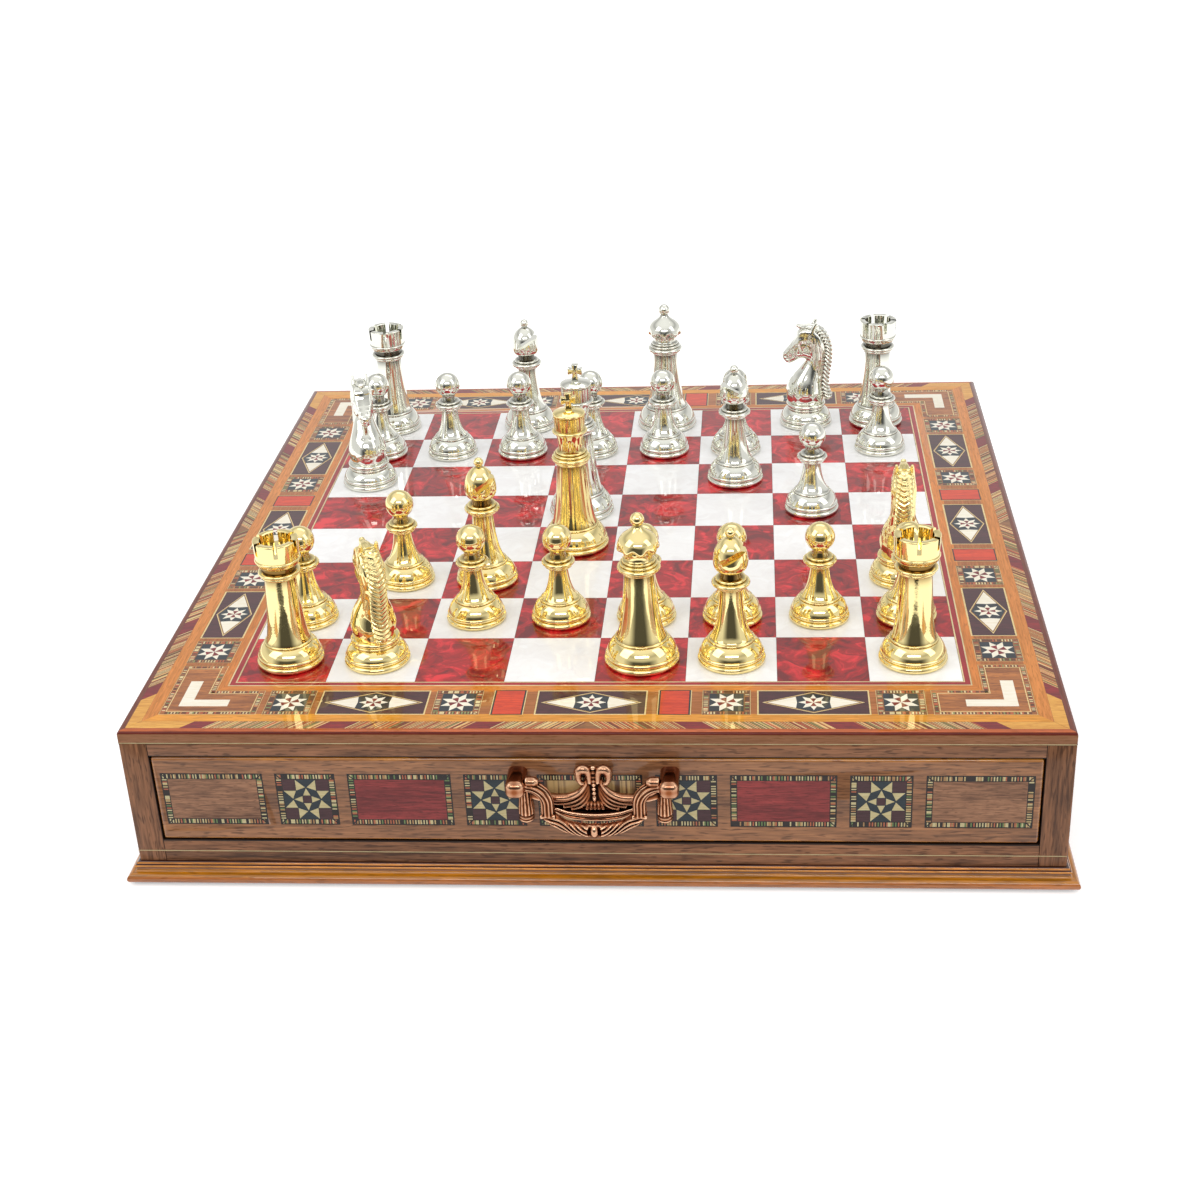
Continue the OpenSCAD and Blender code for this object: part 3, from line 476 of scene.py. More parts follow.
# %% Strips of wood
# Each strip starts this many millimetres from the middle of the board
LID_STRIPS = [(0, "#b5703a"), (158.0, "#f8e4b0"), (158.7, "#b4141e"), (160.8, "#f8e4b0"),
              (161.4, "#e88a30"), (166.6, "#bd7238"), (185.2, "#fba838"), (191.4, "#6b3a22"),
              (197.1, "#cc6226"), (199.2, "#863014")]
SIDE_STRIPS = LID_STRIPS[:6] + [(185.2, "#e8903c"), (191.4, "#6b3a22"), (197.1, "#7c3e2c"),
                                (199.2, "#5a1a12")]
STRIPS_FROM, STRIPS_TO = 150, 202


def strips_ramp(tree, distance, strips, start, stop):
    """A ramp with hard steps at the given distances in millimetres."""
    share = ranged(tree, distance, start * MM, stop * MM)
    stops = [((at - start) / (stop - start), colour(code)) for at, code in strips]
    return ramp_of(tree, share, stops, "CONSTANT")


def shaded_grain(tree, place, tint, saturation, value, **more):
    """Wood grain whose dark wood is a deeper shade of its light wood."""
    deeper = add(tree, "ShaderNodeHueSaturation", {"Saturation": saturation, "Value": value,
                                                   "Color": tint}).outputs[0]
    return use(tree, GRAIN, Vector=place, Light=tint, Dark=deeper, **more)


# %% The lid
LID_EDGE, ARRIS = 1.3 * MM, 0.25 * MM
LID, tree, shader = lacquered("lacquered_lid", coat_rough=0.02)
here = place_of(tree)
mitre = use(tree, MITRE, Vector=here)
x, y, z = split(tree, here)
beside = calc(tree, "GREATER_THAN", calc(tree, "ABSOLUTE", x), calc(tree, "ABSOLUTE", y))
front_strip, side_strip = [strips_ramp(tree, mitre["Distance"], strips, STRIPS_FROM, STRIPS_TO)
                           for strips in (LID_STRIPS, SIDE_STRIPS)]
strip = mixed(tree, beside, front_strip, side_strip)
edge = calc(tree, "LESS_THAN", z, TOP - ARRIS)
below = calc(tree, "LESS_THAN", z, TOP - LID_EDGE)
strip = mixed(tree, below, mixed(tree, edge, strip, colour("#6e2413")), colour(CASE_LIGHT))
grain = shaded_grain(tree, mitre["Vector"], strip, 1.1, 0.55, Figure=0.5, Fineness=1.3)
painted(tree, shader, grain["Color"], grain["Tone"], 0.02 * MM, 0.15)
tree.links.new(calc(tree, "MULTIPLY_ADD", edge, -0.85, 1.0), shader.inputs["Coat Weight"])

# %% [markdown]
# The base moulding has a thick, glassy lacquer. Its amber wood is painted band by band over
# its height: pale on the rounds as painted highlight, deep amber and brown in the hollow as
# painted reflection, and dark in the quirks and at the foot as painted shade.

# %% Moulding, band by band
# Height in millimetres where each band starts, and its colour: painted highlight on the rounds, painted
# reflection in the hollow, painted shade in the quirks and at the foot
MOULDING_LIGHT_AND_SHADE = [(0, "#64300f"), (1.4, "#c4722a"), (4.6, "#d08206"), (6.5, "#9a5c24"),
                  (7.15, "#4e2006"), (7.6, "#e8942c"), (8.6, "#562406"), (9.0, "#e48c20"),
                  (9.75, "#461c06")]
MOULDING_WOOD, tree, shader = lacquered("moulding_wood", 0.45, Coat_IOR=1.6)
band = strips_ramp(tree, split(tree, place_of(tree))[2], MOULDING_LIGHT_AND_SHADE, 0, 12)
mitre = use(tree, MITRE, Vector=place_of(tree))
grain = shaded_grain(tree, mitre["Vector"], band, 1.15, 0.4, Figure=0.5)
painted(tree, shader, grain["Color"], grain["Tone"], 0.03 * MM, 0.2)

# %% [markdown]
# A veneer is a thin slice of dyed or natural wood. Every chip of the inlay is cut from one of
# a few veneers, all under the same clear lacquer.

# %% Veneers
def veneer(name, light, dark, figure=0.5, coat=1.0):
    made, tree, shader = lacquered(name, coat=coat)
    grain = use(tree, GRAIN, Vector=place_of(tree), Light=colour(light), Dark=colour(dark),
                Figure=figure, Fineness=2.0)
    painted(tree, shader, grain["Color"], grain["Tone"], 0.02 * MM, 0.15)
    return made


IVORY = veneer("ivory_veneer", "#fffaee", "#efe4c8", 0.2)
SLATE = veneer("slate_veneer", "#26323c", "#141c23")
PURPLE = veneer("purple_veneer", "#571f27", "#300e13")
RED = veneer("red_veneer", "#ee4a16", "#b82c0c")
CHERRY = veneer("cherry_veneer", "#96191f", "#5e0c10")
MAPLE = veneer("maple_veneer", "#f0b650", "#c8842c")
CREAM = veneer("cream_veneer", "#f3dfa8", "#dcbc74", 0.2)
OLIVE = veneer("olive_veneer", "#a06a38", "#6a401f", 0.9)
CORNER_WOOD = veneer("corner_veneer", "#c67a38", "#743c14", 1.1)
INK = veneer("ink_veneer", "#2b2220", "#181210")

# %% [markdown]
# Stringing is banding glued up from tiny sticks of cream, red, green and brown wood. Each
# stick carries a random number that its node tree gave it, and the finish looks that number
# up in a short list of colours.

# %% Stringing
def stick_material(name, sticks, coat=1.0):
    made, tree, shader = lacquered(name, coat=coat)
    pick = add(tree, "ShaderNodeAttribute", attribute_name="stick").outputs["Fac"]
    shares = [(100 * i / len(sticks), code) for i, code in enumerate(sticks)]
    tint = strips_ramp(tree, calc(tree, "MULTIPLY", pick, 100 * MM), shares, 0, 100)
    grain = shaded_grain(tree, place_of(tree), tint, 1.0, 0.7, Figure=0.3, Fineness=2.0)
    painted(tree, shader, grain["Color"])
    return made


TOP_STICKS = stick_material("top_stringing", [
    "#f0dca4", "#d08c50", "#f0dca4", "#8fa060", "#f0dca4", "#c8643a", "#6a3a1e"])
ROPE_STICKS = stick_material("rope_banding", [
    "#fae2a0", "#f0c078", "#f4cf90", "#9aa05c", "#fae2a0", "#e8a05c", "#c8643a", "#f0c078", "#7e3c1e"])
FRONT_STICKS = stick_material("front_stringing", [
    "#d2c494", "#b8684a", "#c8b07c", "#6c8452", "#d2c494", "#b0885c", "#2e2624"], 0.25)

# %% [markdown]
# The fronts of the drawers have the same kinds of veneer under a thinner, duller finish. The
# middle panel is striped maple, cut across its growth rings.

# %% Front veneers
FRONT_COAT = 0.35
FRONT = {
    "cream": veneer("front_cream", "#cfc396", "#b0a070", 0.2, FRONT_COAT),
    "slate": veneer("front_slate", "#28353d", "#182126", coat=FRONT_COAT),
    "purple": veneer("front_purple", "#4d2f33", "#33191d", coat=FRONT_COAT),
    "red": veneer("front_red", "#9c3a38", "#561a1b", 0.9, FRONT_COAT),
    "walnut": veneer("front_walnut", "#b48260", "#5a3a28", 0.7, FRONT_COAT),
    "ink": veneer("front_ink", "#2a2524", "#191413", coat=FRONT_COAT),
}
FRONT["striped"], tree, shader = new_material("striped_veneer", Roughness=0.45, Coat_Weight=0.25,
                                              Coat_Roughness=0.1)
stripe = ranged(tree, stretched_noise(tree, place_of(tree), (420, 2, 6), 3), 0.40, 0.52)
painted(tree, shader, mixed(tree, stripe, colour("#5e4028"), colour("#c2a06a")))

# %% Squares of crushed pearl
def pearl_material(name, deep, middle, bright, scale, rough):
    made, tree, shader = lacquered(name, rough, coat_rough=0.02)
    sheet = add(tree, "ShaderNodeAttribute", attribute_name="sheet").outputs["Vector"]
    pearl = use(tree, PEARL, Vector=vector_calc(tree, "ADD", place_of(tree), sheet), Scale=scale,
                Deep=colour(deep), Middle=colour(middle), Bright=colour(bright))
    painted(tree, shader, pearl["Color"], pearl["Folds"], 0.05 * MM, 0.15)
    return made


RED_PEARL = pearl_material("red_pearl", "#700008", "#a9040e", "#e4212b", 90, 0.35)
WHITE_PEARL = pearl_material("white_pearl", "#f6f4f3", "#fbfaf9", "#ffffff", 60, 0.4)

# %% [markdown]
# Three metals: polished gold plating, polished silver plating, and antique copper. The copper
# is painted near black in its hollows and pale on its ridges: partly the stain and rubbing of
# an antique finish, partly painted shade and painted highlight. An attribute tells hollows
# from ridges, and is measured once the handles are cast.

# %% Metals
def metal(name, rough, low, high):
    """A polished metal with the height of its waves, for the relief."""
    made, tree, shader = new_material(name, Metallic=1.0, Roughness=rough)
    polish = use(tree, POLISH, Vector=place_of(tree), Low=low, High=high)
    tree.links.new(polish["Roughness"], shader.inputs["Roughness"])
    return made, tree, shader, polish["Height"]


def plated(name, tint, shadow):
    made, tree, shader, waves = metal(name, 0.1, 0.03, 0.1)
    edge = ranged(tree, add(tree, "ShaderNodeNewGeometry").outputs["Pointiness"], 0.42, 0.5)
    painted(tree, shader, mixed(tree, edge, colour(shadow), colour(tint)), waves, 0.25 * MM, 0.35)
    return made


METALS = {"gold": plated("gold_plating", "#fce8a6", "#6e4a12"),
          "silver": plated("silver_plating", "#eaeadf", "#403c32")}

COPPER, tree, shader, waves = metal("antique_copper", 0.3, 0.14, 0.24)
# Hollows are painted dark and ridges pale: antique stain and rubbing, and also painted shade and painted
# highlight
ridge = add(tree, "ShaderNodeAttribute", attribute_name="wear_shade_and_highlight").outputs["Fac"]
above_hollow = ranged(tree, ridge, 0.34, 0.56)
bright = ranged(tree, ridge, 0.56, 0.9)
darkened = mixed(tree, above_hollow, colour("#150a06"), colour("#8e5232"))
painted(tree, shader, mixed(tree, bright, darkened, colour("#f6c8a4")), waves, 0.2 * MM)

STEEL, tree, shader, waves = metal("screw_steel", 0.35, 0.25, 0.45)
shader.inputs["Base Color"].default_value = colour("#b9b9bd")

# %% Felt
FELT, tree, shader = new_material("felt", Roughness=0.95, Sheen_Weight=0.4)
fluff = stretched_noise(tree, place_of(tree), (1500, 1500, 1500), 3)
painted(tree, shader, mixed(tree, fluff, colour("#1d1d1f"), colour("#3a3a3d")), fluff, 0.3 * MM)

# %% [markdown]
# ## Wooden parts
# A finished mesh rides on the body of a imported part. It takes the part's place, and the part
# is hidden, or it comes on top of the part, which stays.

# %% Putting a finished mesh into the scene
SHARP = math.radians(32)


def part_info(node):
    """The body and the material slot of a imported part."""
    record = frame["record"]
    body = next(b for b, nodes in record["behaviour"]["bodies"].items() if node in nodes)
    return body, next(s["material_slot"] for s in record["subparts"] if s["node"] == node)


def shown(name, mesh, node, slot=None):
    piece = in_scene(name, mesh)
    body, part_slot = part_info(node)
    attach(piece, body)
    if slot is None:
        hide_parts(node)


def smooth(mesh, angle=SHARP):
    mesh.shade_smooth()
    mesh.set_sharp_from_angle(angle=angle)
    return mesh


def baked(part, name, *materials):
    """Ends work on a mesh, and gives it its materials."""
    mesh = bpy.data.meshes.new(name)
    for material in materials:
        mesh.materials.append(material)
    part.to_mesh(mesh)
    part.free()
    return mesh


# %% [markdown]
# The wooden parts of the case and of the drawers already have their shape. Each is copied,
# its loose triangles are joined to whole faces, and its sharp edges get the small rounding
# that sanding and lacquer leave.

# %% Rounding the edges of a wooden part
RIM = 0.01 * MM


def rounded(part, edges, radius, steps):
    bmesh.ops.bevel(part, geom=edges, offset=radius, segments=steps, profile=0.5, affect="EDGES",
                    clamp_overlap=True)


def sanded(node, material, radius, steps=2, where=None):
    """Shows a part with its sharp edges rounded by this many millimetres, or only those that where picks."""
    part = bmesh.new()
    part.from_mesh(frame["nodes"][node].data)
    bmesh.ops.remove_doubles(part, verts=part.verts, dist=0.001 * MM)
    bmesh.ops.dissolve_limit(part, angle_limit=math.radians(1), verts=part.verts, edges=part.edges)
    edges = [e for e in part.edges if e.calc_face_angle(0) > SHARP and (where is None or where(e))]
    rounded(part, edges, radius * MM, steps)
    shown("wood_" + node, smooth(baked(part, node, material)), node)


def under_top(edge):
    """True for an edge below the top of the lid, whose recesses stay sharp."""
    return all(v.co.z < TOP - RIM for v in edge.verts)


def on_outline(edge):
    """True for an edge on the outline of a drawer face, and not round a recess or a hole."""
    return all(abs(abs(v.co.x) - FACE_HI.x) < RIM
               or min(abs(v.co.z - FACE_LO.z), abs(v.co.z - FACE_HI.z)) < RIM for v in edge.verts)


# %% The case and the insides of the drawers
sanded("side_panels", WALNUT_SIDE, 0.4)
sanded("cross_rails", WALNUT, 0.3)
sanded("case_bottom", BARE_WOOD, 0.2)
sanded("centre_partition", BARE_WOOD, 0.2)
sanded("drawer_runners", BARE_WOOD_SIDE, 0.3)
sanded("top_board", LID, 0.15, where=under_top)
sanded("foot_pads", FELT, 0.2)
for side in ("front", "back"):
    sanded(side + "_drawer_box", BARE_WOOD_SIDE, 0.5)
    sanded(side + "_drawer_dividers", DIVIDER_WOOD, 0.2)
    screws = frame["nodes"][side + "_handle_screws"].data
    screws.materials.clear()
    screws.materials.append(STEEL)

# %% [markdown]
# A drawer face is rounded all round. There its lacquer is thicker and its wood is painted a
# lighter amber, partly as the lacquer's colour and partly as a painted highlight. Its sides,
# which slide in the opening, are painted dark as painted shade.

# %% Drawer faces
FACE_MID, FACE_HALF = (FACE_HI.z + FACE_LO.z) / 2, (FACE_HI.z - FACE_LO.z) / 2
FACE_ROUND = 1.2
FACE_WOOD, tree, shader = lacquered("drawer_face_wood", 0.5, 0.3, 0.06, Coat_IOR=1.8)
here = place_of(tree)
x, y, z = split(tree, here)
from_side = calc(tree, "SUBTRACT", FACE_HI.x, calc(tree, "ABSOLUTE", x))
from_end = calc(tree, "SUBTRACT", FACE_HALF, calc(tree, "ABSOLUTE", calc(tree, "SUBTRACT", z, FACE_MID)))
# Near its outline the wood is painted a lighter amber: partly thick lacquer, partly a painted highlight on
# the rounded edge
rim = ranged(tree, calc(tree, "MINIMUM", from_side, from_end), 1.3 * MM, 0.7 * MM)
grain = use(tree, GRAIN, Vector=here, Light=mixed(tree, rim, colour("#aa744c"), colour("#c07a20")),
            Dark=mixed(tree, rim, colour("#4c2e1c"), colour("#6b3208")), Figure=0.7)
# Faces behind the front are painted dark as painted shade
shaded_sides = calc(tree, "LESS_THAN", calc(tree, "ABSOLUTE", y), HALF - 1.4 * MM)
painted(tree, shader, mixed(tree, shaded_sides, grain["Color"], colour(PAINTED_SHADE)), grain["Pores"], PORE_DEPTH)
coat = calc(tree, "MULTIPLY_ADD", calc(tree, "SUBTRACT", rim, shaded_sides), 0.7, 0.3)
tree.links.new(coat, shader.inputs["Coat Weight"])
for side in ("front", "back"):
    sanded(side + "_drawer_face", FACE_WOOD, FACE_ROUND, 3, on_outline)

# %% [markdown]
# ## Inlay with geometry nodes
# What repeats is made by node trees with named inputs. One helper runs a tree on a base mesh
# and gives the finished mesh back, so no modifier stays on a piece.

# %% Running a geometry node tree
def evaluated(*items):
    """The mesh that the modifiers of the first object make. All the objects are then removed."""
    graph = bpy.context.evaluated_depsgraph_get()
    made = bpy.data.meshes.new_from_object(items[0].evaluated_get(graph))
    for item in items:
        bpy.data.objects.remove(item)
    return made


def grow(tree, base=None, **values):
    holder = in_scene("holder", base or bpy.data.meshes.new("seed"))
    modifier = holder.modifiers.new("tree", "NODES")
    modifier.node_group = tree
    for item in tree.interface.items_tree:
        title = item.name.replace(" ", "_")
        if item.in_out == "INPUT" and title in values:
            modifier[item.identifier] = values[title]
    return evaluated(holder)


def mesh_tree(name, *inputs):
    """A geometry node tree. It takes a mesh first, then its own inputs, and a material last."""
    sockets = [("Geometry", "Geometry", None), *inputs, ("Material", "Material", None)]
    return new_tree("GeometryNodeTree", name, sockets, [("Geometry", "Geometry")])


def finish_mesh(tree, given, end, geometry):
    real = add(tree, "GeometryNodeRealizeInstances", [geometry])
    finish_tree(tree, end, Geometry=add(tree, "GeometryNodeSetMaterial", {
        "Geometry": real, "Material": given["Material"]}))


# %% Moving, joining and plain blocks
def moved(mesh, shift=(0, 0, 0), turn=0.0):
    """A copy of a mesh, turned about Z and then shifted."""
    copy = mesh.copy()
    copy.transform(Matrix.Translation(shift) @ Matrix.Rotation(turn, 4, "Z"))
    return copy


def at_side(mesh, place, side):
    """A copy of a mesh at this place of the front, turned on to one of the four sides."""
    return moved(mesh, Matrix.Rotation(side * QUARTER, 3, "Z") @ Vector(place), side * QUARTER)


def joined(name, meshes):
    part, materials = bmesh.new(), []
    for mesh in meshes:
        start = len(part.faces)
        part.from_mesh(mesh)
        part.faces.ensure_lookup_table()
        for face in part.faces[start:]:
            material = mesh.materials[face.material_index]
            if material not in materials:
                materials.append(material)
            face.material_index = materials.index(material)
    return baked(part, name, *materials)


def block(size, place, *materials, turn=Matrix()):
    part = bmesh.new()
    stand = Matrix.Translation(place) @ turn @ Matrix.Diagonal((*size, 1))
    bmesh.ops.create_cube(part, size=1, matrix=stand)
    return baked(part, "block", *materials)


# %% [markdown]
# The sixty-four squares are one tree. A grid gives the places, the sum of column and row says
# which of the two colours a place has, and each square gets its own random spot of the pearl
# sheet, so that no two squares look alike.

# %% Playing squares
SQUARES, given, end = mesh_tree(
    "Playing squares", ("Files", "Int", 8), ("Square", "Float", 0.04), ("Gap", "Float", 0.0001),
    ("Thickness", "Float", 0.001), ("Parity", "Int", 0), ("Seed", "Int", 0))
span = calc(SQUARES, "MULTIPLY", given["Square"], calc(SQUARES, "SUBTRACT", given["Files"], 1.0))
grid = add(SQUARES, "GeometryNodeMeshGrid", [span, span, given["Files"], given["Files"]])
index = add(SQUARES, "GeometryNodeInputIndex").outputs[0]
column = calc(SQUARES, "FLOOR", calc(SQUARES, "DIVIDE", index, given["Files"]))
rank = calc(SQUARES, "FLOORED_MODULO", index, given["Files"])
shade = calc(SQUARES, "FLOORED_MODULO", calc(SQUARES, "ADD", column, rank), 2.0)
chosen = calc(SQUARES, "COMPARE", shade, given["Parity"], 0.1)
side = calc(SQUARES, "SUBTRACT", given["Square"], given["Gap"])
one_square = add(SQUARES, "GeometryNodeMeshCube", [combined(SQUARES, side, side, given["Thickness"])])
laid = add(SQUARES, "GeometryNodeInstanceOnPoints", {"Points": grid, "Selection": chosen,
                                                     "Instance": one_square})
spot = add(SQUARES, "FunctionNodeRandomValue", {"Min": (-9, -9, -9), "Max": (9, 9, 9),
                                                "Seed": given["Seed"]}, data_type="FLOAT_VECTOR")
noted = add(SQUARES, "GeometryNodeStoreNamedAttribute", {"Geometry": laid, "Name": "sheet", "Value": spot},
            data_type="FLOAT_VECTOR", domain="INSTANCE")
finish_mesh(SQUARES, given, end, noted)

for parity, node, material in ((0, "dark_squares", RED_PEARL), (1, "light_squares", WHITE_PEARL)):
    mesh = grow(SQUARES, Files=FILES, Square=SQUARE, Gap=GLUE, Thickness=INLAY, Parity=parity,
                Seed=3 + parity, Material=material)
    shown(node.replace("squares", "pearl_squares"), moved(mesh, (0, 0, TOP - INLAY / 2)), node)
    print(node, "has", len(mesh.polygons) // 6, "squares")

# %% [markdown]
# Stars and petals repeat about a centre. The tree takes one flat chip, sets copies round the
# centre and gives them thickness. A flat face is extruded upwards, and its flipped original
# closes the underside, so that each chip is a closed solid.

# %% Ring of chips
RING, given, end = mesh_tree("Ring of chips", ("Count", "Int", 8), ("First Turn", "Float", 0.0),
                             ("Turn", "Float", QUARTER / 2), ("Thickness", "Float", 0.001))
centre = add(RING, "GeometryNodePoints", {"Count": given["Count"]})
angle = calc(RING, "MULTIPLY_ADD", add(RING, "GeometryNodeInputIndex").outputs[0], given["Turn"],
             given["First Turn"])
spin = add(RING, "FunctionNodeEulerToRotation", [combined(RING, 0, 0, angle)])
copies = add(RING, "GeometryNodeInstanceOnPoints", {"Points": centre, "Instance": given["Geometry"],
                                                    "Rotation": spin})
flat = add(RING, "GeometryNodeRealizeInstances", [copies])
down = combined(RING, 0, 0, calc(RING, "MULTIPLY", given["Thickness"], -1.0))
low = add(RING, "GeometryNodeSetPosition", {"Geometry": flat, "Offset": down})
raised = add(RING, "GeometryNodeExtrudeMesh", {
    "Mesh": low, "Offset": (0, 0, 1), "Offset Scale": given["Thickness"], "Individual": True})
closed = add(RING, "GeometryNodeJoinGeometry", [raised])
RING.links.new(add(RING, "GeometryNodeFlipFaces", [low]).outputs[0], closed.inputs[0])
whole = add(RING, "GeometryNodeMergeByDistance", {"Geometry": closed, "Distance": 1e-6})
finish_mesh(RING, given, end, whole)


# %% Cutting chips
def ring(points, material, depth=0.0, count=1, first=0.0):
    """Chips a quarter turn apart round the centre, their tops a few steps below the surface.

    The corners of a chip are given anticlockwise, so that it faces up."""
    chip = mesh_of("chip", [(x, y, 0) for x, y in points], [range(len(points))])
    mesh = grow(RING, chip, Count=count, Turn=QUARTER, First_Turn=first,
                Thickness=INLAY - depth * STEP, Material=material)
    return moved(mesh, (0, 0, -depth * STEP))


def oblong(width, height, material, depth=0.0):
    corners = ((-1, -1), (1, -1), (1, 1), (-1, 1))
    return ring([(x * width / 2, y * height / 2) for x, y in corners], material, depth)


def polar(radius, degrees):
    return radius * math.cos(math.radians(degrees)), radius * math.sin(math.radians(degrees))


def pinwheel(a, tip, b):
    """A star of eight ivory arms, the inner half of every second one red."""
    return [ring([(0, 0), a, tip, b], IVORY, count=4, first=QUARTER / 2),
            ring([a, tip, b], IVORY, count=4), ring([(0, 0), a, b], CHERRY, count=4)]


# %% [markdown]
# Rows of sticks make both the stringing and the rope banding. The tree lays blocks side by
# side along X, leans them when asked to, and gives each one a random number for its colour.
# Most sticks at odd places get a one instead, which stands for the darkest wood.

# %% Row of sticks
ROW, given, end = mesh_tree(
    "Row of sticks", ("Length", "Float", 0.02), ("Width", "Float", 0.003), ("Stick", "Float", 0.001),
    ("Lean", "Float", 0.0), ("Filling", "Float", 0.8), ("Thickness", "Float", 0.001),
    ("Seed", "Int", 0), ("Dark Share", "Float", 0.65))
count = calc(ROW, "ROUND", calc(ROW, "DIVIDE", given["Length"], given["Stick"]))
pitch = calc(ROW, "DIVIDE", given["Length"], count)
half_back = calc(ROW, "MULTIPLY", calc(ROW, "SUBTRACT", given["Length"], pitch), -0.5)
line = add(ROW, "GeometryNodeMeshLine", {"Count": count, "Start Location": combined(ROW, half_back),
                                         "Offset": combined(ROW, pitch)})
size = combined(ROW, calc(ROW, "MULTIPLY", pitch, given["Filling"]), given["Width"], given["Thickness"])
sticks = add(ROW, "GeometryNodeInstanceOnPoints", {
    "Points": line, "Instance": add(ROW, "GeometryNodeMeshCube", [size])})
pick = add(ROW, "FunctionNodeRandomValue", {"Seed": given["Seed"]}, data_type="FLOAT").outputs[1]
odd = calc(ROW, "FLOORED_MODULO", add(ROW, "GeometryNodeInputIndex").outputs[0], 2.0)
dark = calc(ROW, "MULTIPLY", odd, calc(ROW, "LESS_THAN", pick, given["Dark Share"]))
noted = add(ROW, "GeometryNodeStoreNamedAttribute", {
    "Geometry": sticks, "Name": "stick", "Value": calc(ROW, "MAXIMUM", pick, dark)},
    data_type="FLOAT", domain="INSTANCE")
real = add(ROW, "GeometryNodeRealizeInstances", [noted])
across = split(ROW, add(ROW, "GeometryNodeInputPosition"))[1]
lean = combined(ROW, calc(ROW, "MULTIPLY", across, given["Lean"]), 0,
                calc(ROW, "MULTIPLY", given["Thickness"], -0.5))
leaned = add(ROW, "GeometryNodeSetPosition", {"Geometry": real, "Offset": lean})
finish_mesh(ROW, given, end, leaned)


# %% Stringing round a rectangle
def row(length, width, stick, material, seed, lean=0.0, depth=1):
    mesh = grow(ROW, Length=length, Width=width, Stick=stick, Lean=lean, Filling=0.94,
                Thickness=INLAY - depth * STEP, Seed=seed, Material=material)
    return moved(mesh, (0, 0, -depth * STEP))


def stringing(width, height, band, stick, material, ground, seed):
    """A dark ground, four rows of sticks, and mitred corners."""
    parts = [oblong(width, height, ground, 2)]
    for turn, run, reach in ((0, width + 1.5 * band, height), (1, height, width)):
        for way in (-1, 1):
            sticks = row(run - 2 * band, band * 0.72, stick, material, seed + turn * 2 + way)
            parts.append(at_side(sticks, (0, way * (reach - band) / 2, 0), turn))
    mitre_line = oblong(1.35 * band, 0.2 * band, ground, 0.5)
    for x, y in ((1, 1), (-1, 1), (-1, -1), (1, -1)):
        corner = (x * (width - band) / 2, y * (height - band) / 2, 0)
        parts.append(moved(mitre_line, corner, x * y * QUARTER / 2))
    return parts


# %% [markdown]
# ## Tiles of the border
# A star tile has an ivory star on slate. Every second arm has a red inner half, which makes
# the star look like a pinwheel. Cream lines frame it inside and outside the stringing.

# %% Star tile
TOP_STICK = 0.68 * MM


def star_tile(seed):
    inner = TILE - 2 * FRAME
    star = inner - 0.3 * MM
    tip_out = star / 2 / math.cos(math.radians(22.5))
    notch = star / (2 + math.sqrt(2))
    parts = [oblong(TILE - GLUE, TILE - GLUE, CREAM, 3)]
    parts += stringing(TILE - 0.5 * MM, TILE - 0.5 * MM, FRAME - 0.4 * MM, TOP_STICK, TOP_STICKS,
                       OLIVE, seed)
    parts.append(oblong(inner, inner, SLATE, 1))
    return joined("star_tile", parts + pinwheel(polar(notch, 0), polar(tip_out, 22.5), polar(notch, 45)))


def on_four_sides(tiles):
    """Each tile is (mesh, place along the side); every side gets a copy of each."""
    return [at_side(mesh, (x, -BAND_MID, TOP), side) for mesh, x in tiles for side in range(4)]


stars = [(star_tile(seed), x) for seed, x in enumerate((-STAR_2X, -STAR_1X, STAR_1X, STAR_2X), 5)]
shown("star_inlay", joined("star_inlay", on_four_sides(stars)), "star_tiles")

# %% [markdown]
# A lozenge tile has a purple field with a cream line round it. On it lies an ivory lozenge
# with a double outline, and across its middle a slate patch with a smaller star.

# %% Lozenge tile
LOZENGE_RISE = 8.55 * MM
LOZENGE_REACH = LOZENGE / 2 - 2.2 * MM
PATCH_REACH, PATCH_WAIST = 7.4 * MM, 0.93 * 7.4 * MM


def lozenge(shrink):
    share = 1 - shrink / LOZENGE_RISE
    x, y = LOZENGE_REACH * share, LOZENGE_RISE * share
    return [(x, 0), (0, y), (-x, 0), (0, -y)]


def lozenge_tile():
    white = lozenge(0.95 * MM)
    tip_x, tip_y = white[0][0], white[1][1]
    reach, y = PATCH_REACH, tip_y * (1 - PATCH_REACH / tip_x)
    patch = [(PATCH_WAIST, 0), (reach, y), (0, tip_y), (-reach, y), (-PATCH_WAIST, 0), (-reach, -y),
             (0, -tip_y), (reach, -y)]
    parts = [oblong(LOZENGE - GLUE, TILE - GLUE, CREAM, 5),
             oblong(LOZENGE - 1.4 * MM, TILE - 1.6 * MM, PURPLE, 4), ring(lozenge(0), CREAM, 3.5),
             ring(lozenge(0.45 * MM), OLIVE, 3), ring(white, IVORY, 2), ring(patch, SLATE, 1.5)]
    star = pinwheel(polar(3.5 * MM, -22.5), polar(6.4 * MM, 0), polar(3.5 * MM, 22.5))
    return joined("lozenge_tile", parts + star)


one = lozenge_tile()
lozenges = on_four_sides([(one, x) for x in (-LOZENGE_X, 0, LOZENGE_X)])
shown("lozenge_inlay", joined("lozenge_inlay", lozenges), "lozenge_tiles")

# %% [markdown]
# The corner tiles are L-shaped, with stringing along their edges and a white L of two mitred
# legs. Beside the middle lozenge of each side sit two red tiles between thin dark lines.

# %% Corner tiles
ELL_IN, ELL_W, ELL_LEN, BAND = 7 * MM, 5.5 * MM, 21.5 * MM, 2.4 * MM
# How far the stringing stays clear of both ends of an edge: less than nothing where it runs on
CLEAR = {2: (BAND, -BAND), 3: (-BAND, 3 * BAND)}


def corner_shape(gap):
    out, far, near = -BAND_OUT + gap, ARM - BAND_OUT - gap, TILE - BAND_OUT - gap
    return [(out, out), (far, out), (far, near), (near, near), (near, far), (out, far)]


